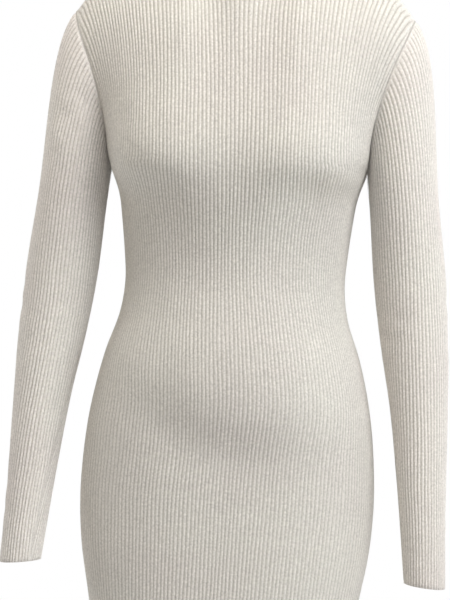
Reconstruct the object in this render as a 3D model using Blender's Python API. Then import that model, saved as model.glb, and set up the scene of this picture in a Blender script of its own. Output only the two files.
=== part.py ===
"""A long-sleeved rib-knit sweater dress with a short stand collar, worn shape, as five sewn pieces.

Metres, +Z up. The front faces -Y and the wearer's left is +X. The origin lies on the centre line, level with
the tops of the shoulder seams beside the neck, where the wearer's shoulders carry the dress.
Every piece is a thin closed wall: plain and open inside, with the knitted ribs raised on its outside.
"""

import math

import bmesh
import bpy
import numpy as np

# Cloth
WALL = 0.0014  # thickness between two ribs
RIB_HEIGHT = 0.0009  # how far a rib stands out of the wall
SEAM_GAP = 0.0003
RIB_FADE = (0.024, 0.052)  # ribs are flat this near to the underarm point, and full this far from it

# Dress body
HEM_Z = -0.885
UNDERARM_Z = -0.240
UNDERARM_X = 0.1395
SHOULDER_X = 0.185
SHOULDER_Y = 0.010
SHOULDER_Z = -0.072
ARMHOLE_DEPTH = 0.0575  # how far the armhole reaches in front of and behind the side seam
BODY_RIBS = 46  # ribs on each side of the centre line of a panel, from hem to underarm
SHOULDER_RIBS = 40  # what the armhole shaping leaves of them at the shoulder
NECK_RIBS = 14  # how many of those end at the neckline
INSIDE_COLUMNS = 14  # columns of the plain inner wall, on each side of the centre line
YOKE_COLUMNS = 20  # the same from YOKE_Z upwards, where the cloth turns over the shoulders
YOKE_Z = -0.110
EDGE_STEP = 4  # along an edge the inner wall has a point every second rib, or every rib at the neck

# Level by level, upwards: half the width, where the side seam lies, the centre line in front and behind,
# how square each half of the outline is, and the spacing of the ribs at the centre.
TORSO_COLUMNS = ("z", "half_width", "side_y", "front_y", "back_y", "front_round", "back_round", "pitch")
TORSO_ROWS = (
    (-0.885, 0.1260, 0.004, -0.0800, 0.0920, 2.35, 2.20, 0.0038),
    (-0.800, 0.1325, 0.004, -0.0835, 0.1000, 2.45, 2.20, 0.0039),
    (-0.709, 0.1466, 0.005, -0.0880, 0.1120, 2.60, 2.20, 0.0040),
    (-0.650, 0.1567, 0.006, -0.0890, 0.1200, 2.70, 2.20, 0.0041),
    (-0.600, 0.1598, 0.006, -0.0885, 0.1230, 2.70, 2.20, 0.0042),
    (-0.550, 0.1577, 0.006, -0.0925, 0.1190, 2.60, 2.20, 0.0042),
    (-0.500, 0.1516, 0.006, -0.1050, 0.1070, 2.40, 2.20, 0.0044),
    (-0.440, 0.1374, 0.005, -0.1035, 0.0890, 2.25, 2.20, 0.0043),
    (-0.400, 0.1237, 0.004, -0.0940, 0.0790, 2.20, 2.20, 0.0041),
    (-0.365, 0.1190, 0.004, -0.0870, 0.0740, 2.20, 2.20, 0.0039),
    (-0.330, 0.1212, 0.004, -0.0870, 0.0760, 2.20, 2.20, 0.0039),
    (-0.300, 0.1245, 0.004, -0.0910, 0.0800, 2.35, 2.20, 0.0040),
    (-0.270, 0.1290, 0.005, -0.0960, 0.0860, 2.50, 2.25, 0.0042),
    (-0.240, 0.1395, 0.005, -0.1000, 0.0920, 2.70, 2.30, 0.0043),
    (-0.202, 0.1434, 0.005, -0.1010, 0.1000, 2.75, 2.30, 0.0044),
    (-0.167, 0.1486, 0.005, -0.0990, 0.1060, 2.65, 2.30, 0.0044),
    (-0.123, 0.1563, 0.005, -0.0920, 0.1060, 2.45, 2.30, 0.0045),
    (-0.072, 0.1700, 0.005, -0.0790, 0.0980, 2.25, 2.30, 0.0048),
)
BODY_LEVELS = (HEM_Z, -0.760, -0.645, -0.550, -0.445, -0.365, -0.274, UNDERARM_Z)
ARMHOLE_SHARES = (0.13, 0.31, 0.56, 0.80, 0.94, 1.0)  # rows between the underarm and the shoulder
ARMHOLE_RIBS = (46, 45, 43, 42, 41, SHOULDER_RIBS)

# The cloth spans the bust as one soft form with two low crowns
BUST_X = 0.093
BUST_Z = -0.238
BUST_OUT = 0.027
BUST_MIDDLE = 0.52  # share of that height left at the centre line
BUST_SQUARE = 0.55  # how far it stays full towards the sides
BUST_ABOVE = 0.064
BUST_BELOW = 0.024
BUST_LONGER = 0.045  # how much longer the slope below is at the centre line
BUST_SPREAD = 0.14  # how much the crowns push the ribs apart
BUST_SPREAD_SIDE = 0.028

# Neck
NECK_HALF_WIDTH = 0.068
NECK_Z = -0.002
NECK_FRONT = (0.068, 0.043)  # forward of the shoulder line, and below its top
NECK_BACK = (0.056, 0.016)
NECK_FAN = 0.5
NECK_DIP = 1.3  # how late the neckline falls away from the shoulders
NECK_ACROSS = (0.8, 0.6)  # outward and upward parts of the thickness at the sewn neckline
COLLAR_RIBS = 34  # on each half of the collar
COLLAR_ROWS = ((0.13, 0.34), (1.0, 1.0))  # share of its height, and of its narrowing towards the top
COLLAR_HALF_WIDTH = 0.0535
COLLAR_HALF_DEPTH = 0.0560
COLLAR_CENTRE_Y = -0.002
COLLAR_TOP = (0.036, 0.044)  # heights of its upper edge in front and behind

# Sleeve, level by level, downwards: its centre, half its width and depth, how much higher its outer side
# is, and the ribs on each half.
CUFF_Z = -0.680
ELBOW_Z = -0.390
CUFF_DROP = {"sleeve_left": -0.007, "sleeve_right": 0.007}
SLEEVE_COLUMNS = ("z", "x", "y", "half_width", "half_depth", "tilt", "ribs")
SLEEVE_ROWS = (
    (-0.282, 0.1818, 0.002, 0.0366, 0.0468, 0.10, 33),
    (-0.360, 0.1906, 0.004, 0.0380, 0.0425, 0.10, 32),
    (-0.425, 0.1981, 0.001, 0.0356, 0.0390, 0.09, 30),
    (-0.490, 0.2050, -0.005, 0.0305, 0.0350, 0.06, 27),
    (-0.575, 0.2112, -0.017, 0.0255, 0.0300, 0.00, 24),
    (-0.680, 0.2185, -0.034, 0.0213, 0.0245, -0.10, 22),
)
CAP_STEPS = (0.13, 0.50)  # rows between the armhole and the first level
CAP_START = 0.62  # how strongly the cap leaves the armhole, and how strongly it joins the arm
CAP_END = 0.98
CAP_OUT = (0.64, 0.10)  # how far outward it leaves at the shoulder and at the underarm
CAP_SWELL = 0.22  # how much its front and back swell
CREASE_CLOSES = (0.60, 0.90)  # the crease between body and sleeve closes between these shares of the armhole
MITRE_LEAST = 0.75
SLEEVE_INSIDE_COLUMNS = 9  # on each half

BODY_COLOUR = (0.76, 0.72, 0.66)
SLEEVE_COLOUR = (0.78, 0.74, 0.69)
ROUGHNESS = 0.9
STEP = 0.0008  # spacing for slopes and normals
LEAN = math.atan2(SHOULDER_X - UNDERARM_X, SHOULDER_Z - UNDERARM_Z)  # of the armhole, off upright


def table(columns, rows):
    """The rows as one array for each named column, in rising z."""
    ordered = sorted(rows)
    return {name: np.array([row[i] for row in ordered], float) for i, name in enumerate(columns)}


TORSO = table(TORSO_COLUMNS, TORSO_ROWS)
SLEEVE = table(SLEEVE_COLUMNS, SLEEVE_ROWS)


def smooth(rows, name, z):
    """A column of a table at height z, on a smooth curve through its rows."""
    known, values = rows["z"], rows[name]
    slopes = np.gradient(values, known)
    i = int(np.clip(np.searchsorted(known, z) - 1, 0, len(known) - 2))
    width = known[i + 1] - known[i]
    s = (z - known[i]) / width
    start = (2 * s**3 - 3 * s**2 + 1) * values[i] + (s**3 - 2 * s**2 + s) * width * slopes[i]
    return start + (3 * s**2 - 2 * s**3) * values[i + 1] + (s**3 - s**2) * width * slopes[i + 1]


def ease(value, low, high):
    """0 below low and 1 above high, with a soft change between."""
    s = np.clip((value - low) / (high - low), 0.0, 1.0)
    return s * s * (3.0 - 2.0 * s)


def unit(vectors):
    vectors = np.asarray(vectors, float)
    return vectors / np.linalg.norm(vectors, axis=-1, keepdims=True)


def widen(share, stretch):
    """Moves ribs from an even spacing to one that is stretch times as wide at the centre."""
    return stretch * share + (1.0 - stretch) * share**3


def halves(count):
    """Shares from -1 to 1 in this many even steps on each side of 0."""
    return np.linspace(-1.0, 1.0, 2 * count + 1)


# ---- Dress body


def top_edge(side, share, up):
    """Where the columns of a panel head for: its shoulder seams, and the neckline between them.

    They end there at up 1, fanned a little towards its corners. Lower rows aim at a softer curve.
    """
    neck = NECK_RIBS / SHOULDER_RIBS
    x = SHOULDER_X * widen(share, (NECK_HALF_WIDTH / SHOULDER_X - neck**3) / (neck - neck**3))
    run = np.clip((np.abs(x) - NECK_HALF_WIDTH) / (SHOULDER_X - NECK_HALF_WIDTH), 0.0, 1.0)
    z = NECK_Z + (SHOULDER_Z - NECK_Z) * (0.51 * run + 0.49 * run**4.4)
    part = np.clip(x / NECK_HALF_WIDTH, -1.0, 1.0)
    fan = NECK_FAN * up**9
    angle = (1.0 - fan) * np.arcsin(part) + fan * 0.5 * np.pi * part
    x = np.where(np.abs(part) < 1.0, NECK_HALF_WIDTH * np.sin(angle), x)
    inside = np.cos(angle) ** (1.0 + ease(1.0 - up, 0.0, 0.07) * (1.0 - ease(1.0 - up, 0.1, 0.4)))
    reach, drop = NECK_FRONT if side < 0 else NECK_BACK
    return x, SHOULDER_Y + side * reach * inside, z - drop * inside**NECK_DIP


def bust(x, z, width):
    """How far the cloth over the bust stands in front of the plain chest, from 0 to 1, in a row this wide."""
    away = np.clip((np.abs(x) - BUST_X) / (width - BUST_X), 0.0, 1.0)
    between = np.cos(0.5 * np.pi * np.clip(np.abs(x) / BUST_X, 0.0, 1.0)) ** 2
    middle = 1.0 - (1.0 - BUST_MIDDLE) * between
    across = middle * np.cos(0.5 * np.pi * away) ** BUST_SQUARE
    rise = np.where(z > BUST_Z, BUST_ABOVE, BUST_BELOW + BUST_LONGER * between)
    return across * np.exp(-(((z - BUST_Z) / rise) ** 2))


def panel_row(side, level, share, ribs):
    """Points of one knitted row of the front (side -1) or back (side 1), from edge (share -1) to edge (1).

    level is the row's height where it meets the side seam or the armhole, and ribs how many it has on each
    side of the centre line.
    """
    up = np.clip((level - UNDERARM_Z) / (SHOULDER_Z - UNDERARM_Z), 0.0, 1.0)
    width = smooth(TORSO, "half_width", level)
    centre_y = smooth(TORSO, "front_y" if side < 0 else "back_y", level)
    power = smooth(TORSO, "front_round" if side < 0 else "back_round", level)
    side_y, square = smooth(TORSO, "side_y", level), 0.5 + 0.22 * up
    cut = ARMHOLE_DEPTH * np.sqrt(1.0 - (1.0 - up) ** 2) / abs(centre_y - side_y)
    last = (1.0 - cut ** (1.0 / square)) ** (1.0 / power)
    across = last * np.sin(np.linspace(0.0, 0.5 * np.pi, 400))
    outline_x = width * across / last
    outline_y = side_y + (centre_y - side_y) * np.maximum(1.0 - across**power, 0.0) ** square
    length = np.concatenate([[0.0], np.cumsum(np.hypot(np.diff(outline_x), np.diff(outline_y)))])
    along = length[-1] * widen(np.abs(share), smooth(TORSO, "pitch", level) * ribs / length[-1])
    x = np.sign(share) * np.interp(along, length, outline_x)
    y = np.interp(along, length, outline_y)
    top_x, top_y, top_z = top_edge(side, share, up)
    shoulder = ease(np.abs(share) * SHOULDER_RIBS / NECK_RIBS, 0.2, 1.1)
    turn = (1.0 - shoulder) * up**2.3 + shoulder * (1.0 - np.sqrt(1.0 - up**3))
    x = x + (top_x - x) * up**3
    y = y + (top_y - y) * turn
    z = min(level, UNDERARM_Z) + up * (SHOULDER_Z - UNDERARM_Z) + (top_z - SHOULDER_Z) * up**1.5
    if side < 0:
        height = bust(x, z, width)
        near = np.abs(x) - BUST_X
        x = x + BUST_SPREAD * np.sign(x) * near * np.exp(-((near / BUST_SPREAD_SIDE) ** 2)) * height
        y = y - BUST_OUT * height
    return np.column_stack([x, y + side * 0.5 * SEAM_GAP, z])


def panel_normals(side, level, share, ribs):
    """Outward directions of a panel's row."""
    high = min(level + STEP, SHOULDER_Z)
    rise = panel_row(side, high, share, ribs) - panel_row(side, high - 2.0 * STEP, share, ribs)
    after = panel_row(side, level, np.clip(share + 0.002, -1.0, 1.0), ribs)
    run = after - panel_row(side, level, np.clip(share - 0.002, -1.0, 1.0), ribs)
    return unit(np.cross(run, rise) * -side)


def cap_leave(z, side, hand):
    """The way the sleeve cap leaves the armhole at height z, in front (side -1) or behind (1)."""
    low = np.clip((SHOULDER_Z - z) / (SHOULDER_Z - UNDERARM_Z), 0.0, 1.0)
    out = CAP_OUT[0] * np.cos(0.5 * np.pi * low) + CAP_OUT[1] * np.sin(0.5 * np.pi * low)
    swell = side * CAP_SWELL * np.sin(np.pi * low)
    return unit(np.column_stack([hand * out, swell, -np.sqrt(1.0 - out**2)]))


def armhole_across(side, level, hand, ribs):
    """The panel's and the sleeve's way across the wall at the armhole.

    They share one that halves the crease between them. Low down, where the crease closes, each keeps its own.
    """
    edge = np.array([float(hand)])
    body = panel_normals(side, level, edge, ribs)[0]
    point = panel_row(side, level, edge, ribs)[0]
    rise = point - panel_row(side, level - STEP, edge, ribs)[0]
    leave = cap_leave(np.array([point[2]]), side, hand)[0]
    sleeve = unit(np.cross(rise, leave)) * side * hand
    if level < UNDERARM_Z + STEP:
        body, sleeve = np.array([hand, 0.0, 0.0]), np.array([-hand, 0.0, 0.0])
    apart = ease((SHOULDER_Z - level) / (SHOULDER_Z - UNDERARM_Z), *CREASE_CLOSES)
    found = []
    for own, other in ((body, sleeve), (sleeve, body)):
        across = own + (1.0 - apart) * other
        if level > SHOULDER_Z - STEP:
            across[1] = 0.0
        across = unit(across)
        found.append(across / max(MITRE_LEAST, float(across @ own)))
    return found


def wall_across(side, level, share, ribs):
    """The way across the wall along a row. Sewn edges turn it so that neighbouring pieces meet flush."""
    points = panel_row(side, level, share, ribs)
    directions = panel_normals(side, level, share, ribs)
    if level < HEM_Z + STEP:
        directions[:, 2] = 0.0
    if level > SHOULDER_Z - STEP:
        on_neck = np.abs(points[:, 0]) < NECK_HALF_WIDTH + STEP
        directions[~on_neck, 1] = 0.0
        away = (points[on_neck] - [0.0, points[-1, 1], 0.0]) * [1.0, 1.0, 0.0]
        directions[on_neck] = NECK_ACROSS[0] * unit(away) + [0.0, 0.0, NECK_ACROSS[1]]
    directions = unit(directions)
    for end, hand in ((0, -1), (-1, 1)):
        sideways = np.array([hand, 0.0, 0.0])
        seam = level < UNDERARM_Z - STEP
        directions[end] = sideways if seam else armhole_across(side, level, hand, ribs)[0]
    return directions


def rib_heights(points, columns):
    """Odd columns are the tops of ribs. They flatten near the underarm points."""
    corner = np.array([UNDERARM_X, smooth(TORSO, "side_y", UNDERARM_Z), UNDERARM_Z])
    mirrored = np.column_stack([np.abs(points[:, 0]), points[:, 1:]])
    distance = np.linalg.norm(mirrored - corner, axis=1)
    return RIB_HEIGHT * (np.abs(columns) % 2) * ease(distance, *RIB_FADE)


def panel_levels():
    """(level, ribs on each side of the centre) for each row of a panel, from the hem up."""
    span = SHOULDER_Z - UNDERARM_Z
    rows = [(UNDERARM_Z + span * up, ribs) for up, ribs in zip(ARMHOLE_SHARES, ARMHOLE_RIBS)]
    return [(level, BODY_RIBS) for level in BODY_LEVELS] + rows


def inside_shares(level, columns):
    """Where the inner wall has points along a row."""
    if level < HEM_Z + STEP:
        return columns[columns % EDGE_STEP == 0] / columns[-1]
    if level > SHOULDER_Z - STEP:
        neck = (columns % 2 == 0) & (np.abs(columns) < 2 * NECK_RIBS)
        return columns[(columns % EDGE_STEP == 0) | neck] / columns[-1]
    return halves(YOKE_COLUMNS if level > YOKE_Z else INSIDE_COLUMNS)


def panel_rows(side):
    """Each row of a panel: the valleys of its outside, the outside, its columns, the inside and its shares."""
    rows = []
    for level, ribs in panel_levels():
        columns = np.arange(-2 * ribs, 2 * ribs + 1)
        share, plain = columns / columns[-1], inside_shares(level, columns)
        base = panel_row(side, level, share, ribs)
        ridge = wall_across(side, level, share, ribs) * rib_heights(base, columns)[:, None]
        inner = panel_row(side, level, plain, ribs) - WALL * wall_across(side, level, plain, ribs)
        rows.append({"base": base, "outer": base + ridge, "columns": columns, "inner": inner, "plain": plain})
    return rows


# ---- Closed walls


class Wall:
    """One closed wall, made from the rows of its outside and of its inside."""

    def __init__(self, rows, ring):
        self.points = []
        self.faces = []
        outer = [self.add(row["outer"], ring) for row in rows]
        inner = [self.add(row["inner"], ring) for row in rows]
        for i in range(len(rows) - 1):
            self.stitch(outer[i], rows[i]["columns"], outer[i + 1], rows[i + 1]["columns"])
            self.stitch(inner[i], rows[i]["plain"], inner[i + 1], rows[i + 1]["plain"])
        for end in (0, -1):
            columns = rows[end]["columns"]
            self.stitch(outer[end], columns / columns[-1], inner[end], rows[end]["plain"])
            if not ring:
                levels = np.arange(len(rows))
                self.stitch([row[end] for row in outer], levels, [row[end] for row in inner], levels)

    def add(self, points, ring):
        """Adds a row of points and returns their numbers. A ring ends on its own first point."""
        first = len(self.points)
        self.points.extend(map(tuple, points[:-1] if ring else points))
        row = list(range(first, len(self.points)))
        return [*row, first] if ring else row

    def stitch(self, row, places, other, other_places):
        """Fills the strip between two rows, always stepping along the row whose next stretch comes first."""
        middles, other_middles = (np.add(at[:-1], at[1:]).tolist() + [np.inf] for at in (places, other_places))
        i, j = 0, 0
        while i < len(row) - 1 or j < len(other) - 1:
            if middles[i] <= other_middles[j] + 1e-9:
                self.faces.append((row[i], row[i + 1], other[j]))
                i += 1
            else:
                self.faces.append((row[i], other[j + 1], other[j]))
                j += 1

    def make(self, name, colour):
        """The wall as an object with its own material."""
        mesh = bpy.data.meshes.new(name)
        mesh.from_pydata(self.points, [], self.faces)
        shape = bmesh.new()
        shape.from_mesh(mesh)
        bmesh.ops.recalc_face_normals(shape, faces=shape.faces)
        if shape.calc_volume(signed=True) < 0.0:
            bmesh.ops.reverse_faces(shape, faces=shape.faces)
        shape.to_mesh(mesh)
        shape.free()
        mesh.shade_smooth()
        made = bpy.data.objects.new(name, mesh)
        bpy.context.scene.collection.objects.link(made)
        finish = bpy.data.materials.new(name + "_knit")
        finish.use_nodes = True
        shader = finish.node_tree.nodes["Principled BSDF"]
        shader.inputs["Base Color"].default_value = (*colour, 1.0)
        shader.inputs["Roughness"].default_value = ROUGHNESS
        mesh.materials.append(finish)


def line_shares(line):
    """How far along a line each of its points lies, from 0 to 1."""
    steps = np.linalg.norm(np.diff(line, axis=0), axis=1)
    return np.concatenate([[0.0], np.cumsum(steps)]) / steps.sum()


def on_loop(loop, share):
    """Points at these shares of a closed line, on its straight stretches."""
    return np.column_stack([np.interp(share, loop[0], loop[1][:, i]) for i in range(3)])


def seam_row(loop, inside, ribs, apart):
    """The first row of a piece sewn on along a closed line of its neighbours' points. Its ribs start flat."""
    columns = np.arange(-2 * ribs, 2 * ribs + 1)
    outer = on_loop(loop, columns / columns[-1])
    return {"outer": outer + apart, "columns": columns, "inner": inside[1] + apart, "plain": inside[0]}


# ---- Sleeves


def armhole(hand):
    """The armhole's closed line (0 at the shoulder, front above 0), and the sleeve's inside along it."""
    lines = []
    for side in (-1, 1):
        points, inside = [], []
        for level, ribs in reversed(panel_levels()[len(BODY_LEVELS) - 1 :]):
            point = panel_row(side, level, np.array([float(hand)]), ribs)[0] - [0.0, side * 0.5 * SEAM_GAP, 0.0]
            points.append(point)
            inside.append(point - WALL * armhole_across(side, level, hand, ribs)[1])
        lines.append((np.array(points), np.array(inside)))
    (fore, fore_inside), (aft, aft_inside) = lines
    shares = np.concatenate([-line_shares(aft)[::-1], line_shares(fore)[1:]])
    return (shares, np.vstack([aft[::-1], fore[1:]])), (shares, np.vstack([aft_inside[::-1], fore_inside[1:]]))


def sleeve_ring(z, share, hand, drop):
    """Points round the sleeve at height z, evenly spaced along the oval of its table."""
    row = {name: smooth(SLEEVE, name, z) for name in SLEEVE_COLUMNS[1:-1]}
    turn = np.linspace(0.0, np.pi, 240)
    x, y = row["half_width"] * np.cos(turn), row["half_depth"] * np.sin(turn)
    length = np.concatenate([[0.0], np.cumsum(np.hypot(np.diff(x), np.diff(y)))])
    angle = np.interp(np.abs(share), length / length[-1], turn)
    x, y = row["half_width"] * np.cos(angle), -np.sign(share) * row["half_depth"] * np.sin(angle)
    below = max(0.0, (ELBOW_Z - z) / (ELBOW_Z - CUFF_Z))
    return np.column_stack([hand * (row["x"] + x), row["y"] + y, z + drop * below + row["tilt"] * x])


def cap_ring(loop, step, share, hand, drop):
    """Points of the sleeve cap, from the armhole (step 0) to the first level of the sleeve (step 1)."""
    first = SLEEVE["z"][-1]
    start, end = on_loop(loop, share), sleeve_ring(first, share, hand, drop)
    reach = np.linalg.norm(end - start, axis=1)[:, None]
    down = unit(sleeve_ring(first - 0.01, share, hand, drop) - end)
    leave = cap_leave(start[:, 2], -np.sign(share), hand)
    bend = (step**3 - 2 * step**2 + step) * CAP_START * leave + (step**3 - step**2) * CAP_END * down
    return start + (3 * step**2 - 2 * step**3) * (end - start) + bend * reach


def sleeve_row(loop, step, share, hand, drop):
    """Points of the sleeve: step 0 is the armhole, 1 the first level of its table, 2 the next."""
    if step < 1.0:
        return cap_ring(loop, step, share, hand, drop)
    levels = SLEEVE["z"][::-1]
    return sleeve_ring(float(np.interp(step - 1.0, np.arange(len(levels)), levels)), share, hand, drop)


def sleeve_directions(loop, step, share, hand, drop):
    """The way across the sleeve's wall. The cuff is cut level."""
    last = float(len(SLEEVE_ROWS))
    below = sleeve_row(loop, min(step + 0.02, last), share, hand, drop)
    fall = below - sleeve_row(loop, step - 0.02, share, hand, drop)
    after, before = ((share + turn + 1.0) % 2.0 - 1.0 for turn in (0.01, -0.01))
    run = sleeve_row(loop, step, after, hand, drop) - sleeve_row(loop, step, before, hand, drop)
    directions = np.cross(run, fall) * hand
    if step == last:
        directions[:, 2] = 0.0
    return unit(directions)


def make_sleeve(name, hand):
    """A sleeve from its armhole to the cuff, as one tube."""
    drop = CUFF_DROP[name]
    apart = SEAM_GAP * np.array([hand * math.cos(LEAN), 0.0, -math.sin(LEAN)])
    loop, inside = armhole(hand)
    rows = [seam_row(loop, inside, SLEEVE_ROWS[0][-1], apart)]
    steps = [(step, SLEEVE_ROWS[0][-1]) for step in CAP_STEPS]
    steps += [(1.0 + i, row[-1]) for i, row in enumerate(SLEEVE_ROWS)]
    for step, ribs in steps:
        columns = np.arange(-2 * ribs, 2 * ribs + 1)
        edge = step == len(SLEEVE_ROWS)
        share, plain = columns / columns[-1], halves(2 * ribs // EDGE_STEP if edge else SLEEVE_INSIDE_COLUMNS)
        base = sleeve_row(loop, step, share, hand, drop)
        ridge = sleeve_directions(loop, step, share, hand, drop) * rib_heights(base, columns)[:, None]
        thick = WALL * sleeve_directions(loop, step, plain, hand, drop)
        inner = sleeve_row(loop, step, plain, hand, drop) - thick
        rows.append({"outer": base + ridge + apart, "columns": columns, "inner": inner + apart, "plain": plain})
    Wall(rows, ring=True).make(name, SLEEVE_COLOUR)


# ---- Collar


def neckline(front, back, points):
    """The neckline's closed line through the panels' edges: shares (0 in front, 1 and -1 behind), points."""
    fore, aft = (rows[-1][points] for rows in (front, back))
    fore, aft = (line[np.abs(line[:, 0]) < NECK_HALF_WIDTH + STEP] for line in (fore, aft))
    middle = len(aft) // 2
    ring = np.vstack([aft[middle::-1], fore[1:-1], aft[: middle - 1 : -1]])
    return 2.0 * line_shares(ring) - 1.0, ring


def collar_ring(loop, height, narrowing, share):
    """Points and outward directions of the collar at this share of its height."""
    turn = np.pi * share
    away = np.column_stack([np.sin(turn), -np.cos(turn), np.zeros(len(turn))])
    edge = away * [COLLAR_HALF_WIDTH, COLLAR_HALF_DEPTH, 0.0] + [0.0, COLLAR_CENTRE_Y, 0.0]
    edge[:, 2] = np.interp(away[:, 1], (-1.0, 1.0), COLLAR_TOP)
    seam = on_loop(loop, share)
    return seam + (edge - seam) * [narrowing, narrowing, height], away


def make_collar(front, back):
    """The stand collar, a ring sewn to the neckline."""
    apart = np.array([0.0, 0.0, SEAM_GAP / NECK_ACROSS[0]])
    loop, inside = (neckline(front, back, points) for points in ("base", "inner"))
    rows = [seam_row(loop, inside, COLLAR_RIBS, apart)]
    columns = rows[0]["columns"]
    for height, narrowing in COLLAR_ROWS:
        plain = halves(2 * COLLAR_RIBS // EDGE_STEP)
        base, out = collar_ring(loop, height, narrowing, columns / columns[-1])
        outer = base + out * rib_heights(base, columns)[:, None]
        inner_base, inner_out = collar_ring(loop, height, narrowing, plain)
        inner = inner_base - WALL * inner_out
        rows.append({"outer": outer + apart, "columns": columns, "inner": inner + apart, "plain": plain})
    Wall(rows, ring=True).make("collar", BODY_COLOUR)


def main():
    for old in list(bpy.data.objects):
        bpy.data.objects.remove(old)
    front, back = panel_rows(-1), panel_rows(1)
    Wall(front, ring=False).make("front", BODY_COLOUR)
    Wall(back, ring=False).make("back", BODY_COLOUR)
    make_sleeve("sleeve_left", 1)
    make_sleeve("sleeve_right", -1)
    make_collar(front, back)


main()
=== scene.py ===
# %% [markdown]
# # A rib-knit sweater dress
#
# A close-fitting dress in cream rib knit, in the shape it has when it is worn, with nobody in it.
# It is sewn from five knitted pieces: a front, a back, two long sleeves and a short stand collar.
# The lesson builds each piece as a thin closed shell, raises its ribs with Geometry Nodes, links
# the pieces with small stitches along their seams, and gives the yarn a soft matt finish.

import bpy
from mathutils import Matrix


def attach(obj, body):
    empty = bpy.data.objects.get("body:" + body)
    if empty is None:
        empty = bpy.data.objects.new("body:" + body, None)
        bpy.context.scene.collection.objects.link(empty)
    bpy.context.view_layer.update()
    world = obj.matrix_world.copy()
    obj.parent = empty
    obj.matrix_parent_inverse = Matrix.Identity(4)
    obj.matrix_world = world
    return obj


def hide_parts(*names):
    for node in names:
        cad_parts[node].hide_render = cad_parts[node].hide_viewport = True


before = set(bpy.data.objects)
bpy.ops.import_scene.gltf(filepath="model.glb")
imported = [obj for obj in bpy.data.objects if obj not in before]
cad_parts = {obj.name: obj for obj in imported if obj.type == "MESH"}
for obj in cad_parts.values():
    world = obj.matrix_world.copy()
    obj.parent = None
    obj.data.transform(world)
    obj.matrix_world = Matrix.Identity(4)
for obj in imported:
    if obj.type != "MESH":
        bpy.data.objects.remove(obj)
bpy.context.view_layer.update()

# %% Blender, arrays and numbers
import math

import bmesh
import bpy
import numpy as np
from mathutils import Matrix, Vector

print("Blender", bpy.app.version_string)

# %% [markdown]
# ## Camera
#
# A dress is best looked at from far away through a long lens, so that its front isn't swollen and
# its sides aren't hidden. The camera here stands three metres off, a few degrees to one side, and
# leans a little. It could be moved by eye in the viewport, but its lens is worked out instead,
# from how tall a strip of the dress the frame has to hold at that distance.

# %% Camera
FRAME_HEIGHT = 0.654  # what the frame holds from top to bottom, at the middle of the dress
SENSOR_WIDTH = 36.0  # millimetres
CAMERA_AWAY = 3.0
CAMERA_TURN = math.radians(4.5)
CAMERA_LEAN = math.radians(2.2)
CAMERA_AIM = (-0.0098, -0.3826)  # across and up


def make_camera():
    data = bpy.data.cameras.new("camera")
    data.sensor_width = SENSOR_WIDTH
    data.lens = SENSOR_WIDTH * CAMERA_AWAY / FRAME_HEIGHT
    camera = bpy.data.objects.new("camera", data)
    bpy.context.scene.collection.objects.link(camera)
    back = Vector((math.sin(CAMERA_TURN), -math.cos(CAMERA_TURN), 0.0))
    right = Vector((math.cos(CAMERA_TURN), math.sin(CAMERA_TURN), 0.0))
    aim = right * CAMERA_AIM[0] + Vector((0.0, 0.0, CAMERA_AIM[1]))
    facing = (-back).to_track_quat("-Z", "Y").to_matrix().to_4x4()
    lean = Matrix.Rotation(CAMERA_LEAN, 4, "Z")
    camera.matrix_world = Matrix.Translation(aim + back * CAMERA_AWAY) @ facing @ lean
    bpy.context.scene.camera = camera
    print("lens", round(data.lens, 1), "mm")


make_camera()

# %% [markdown]
# ## The measures of the dress
#
# A pattern cutter notes a garment as a list of widths at fixed heights. The same list drives
# every surface here: at each level half the width, where the side seam lies, how far the cloth
# stands out in front and behind, how square each of the two is, and how wide the ribs are at the
# centre. Curves between the rows are smooth. They could be drawn by eye in the viewport, but
# numbers keep both sides equal and are easy to regrade. All heights are below the neck, so z is
# negative.

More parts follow.
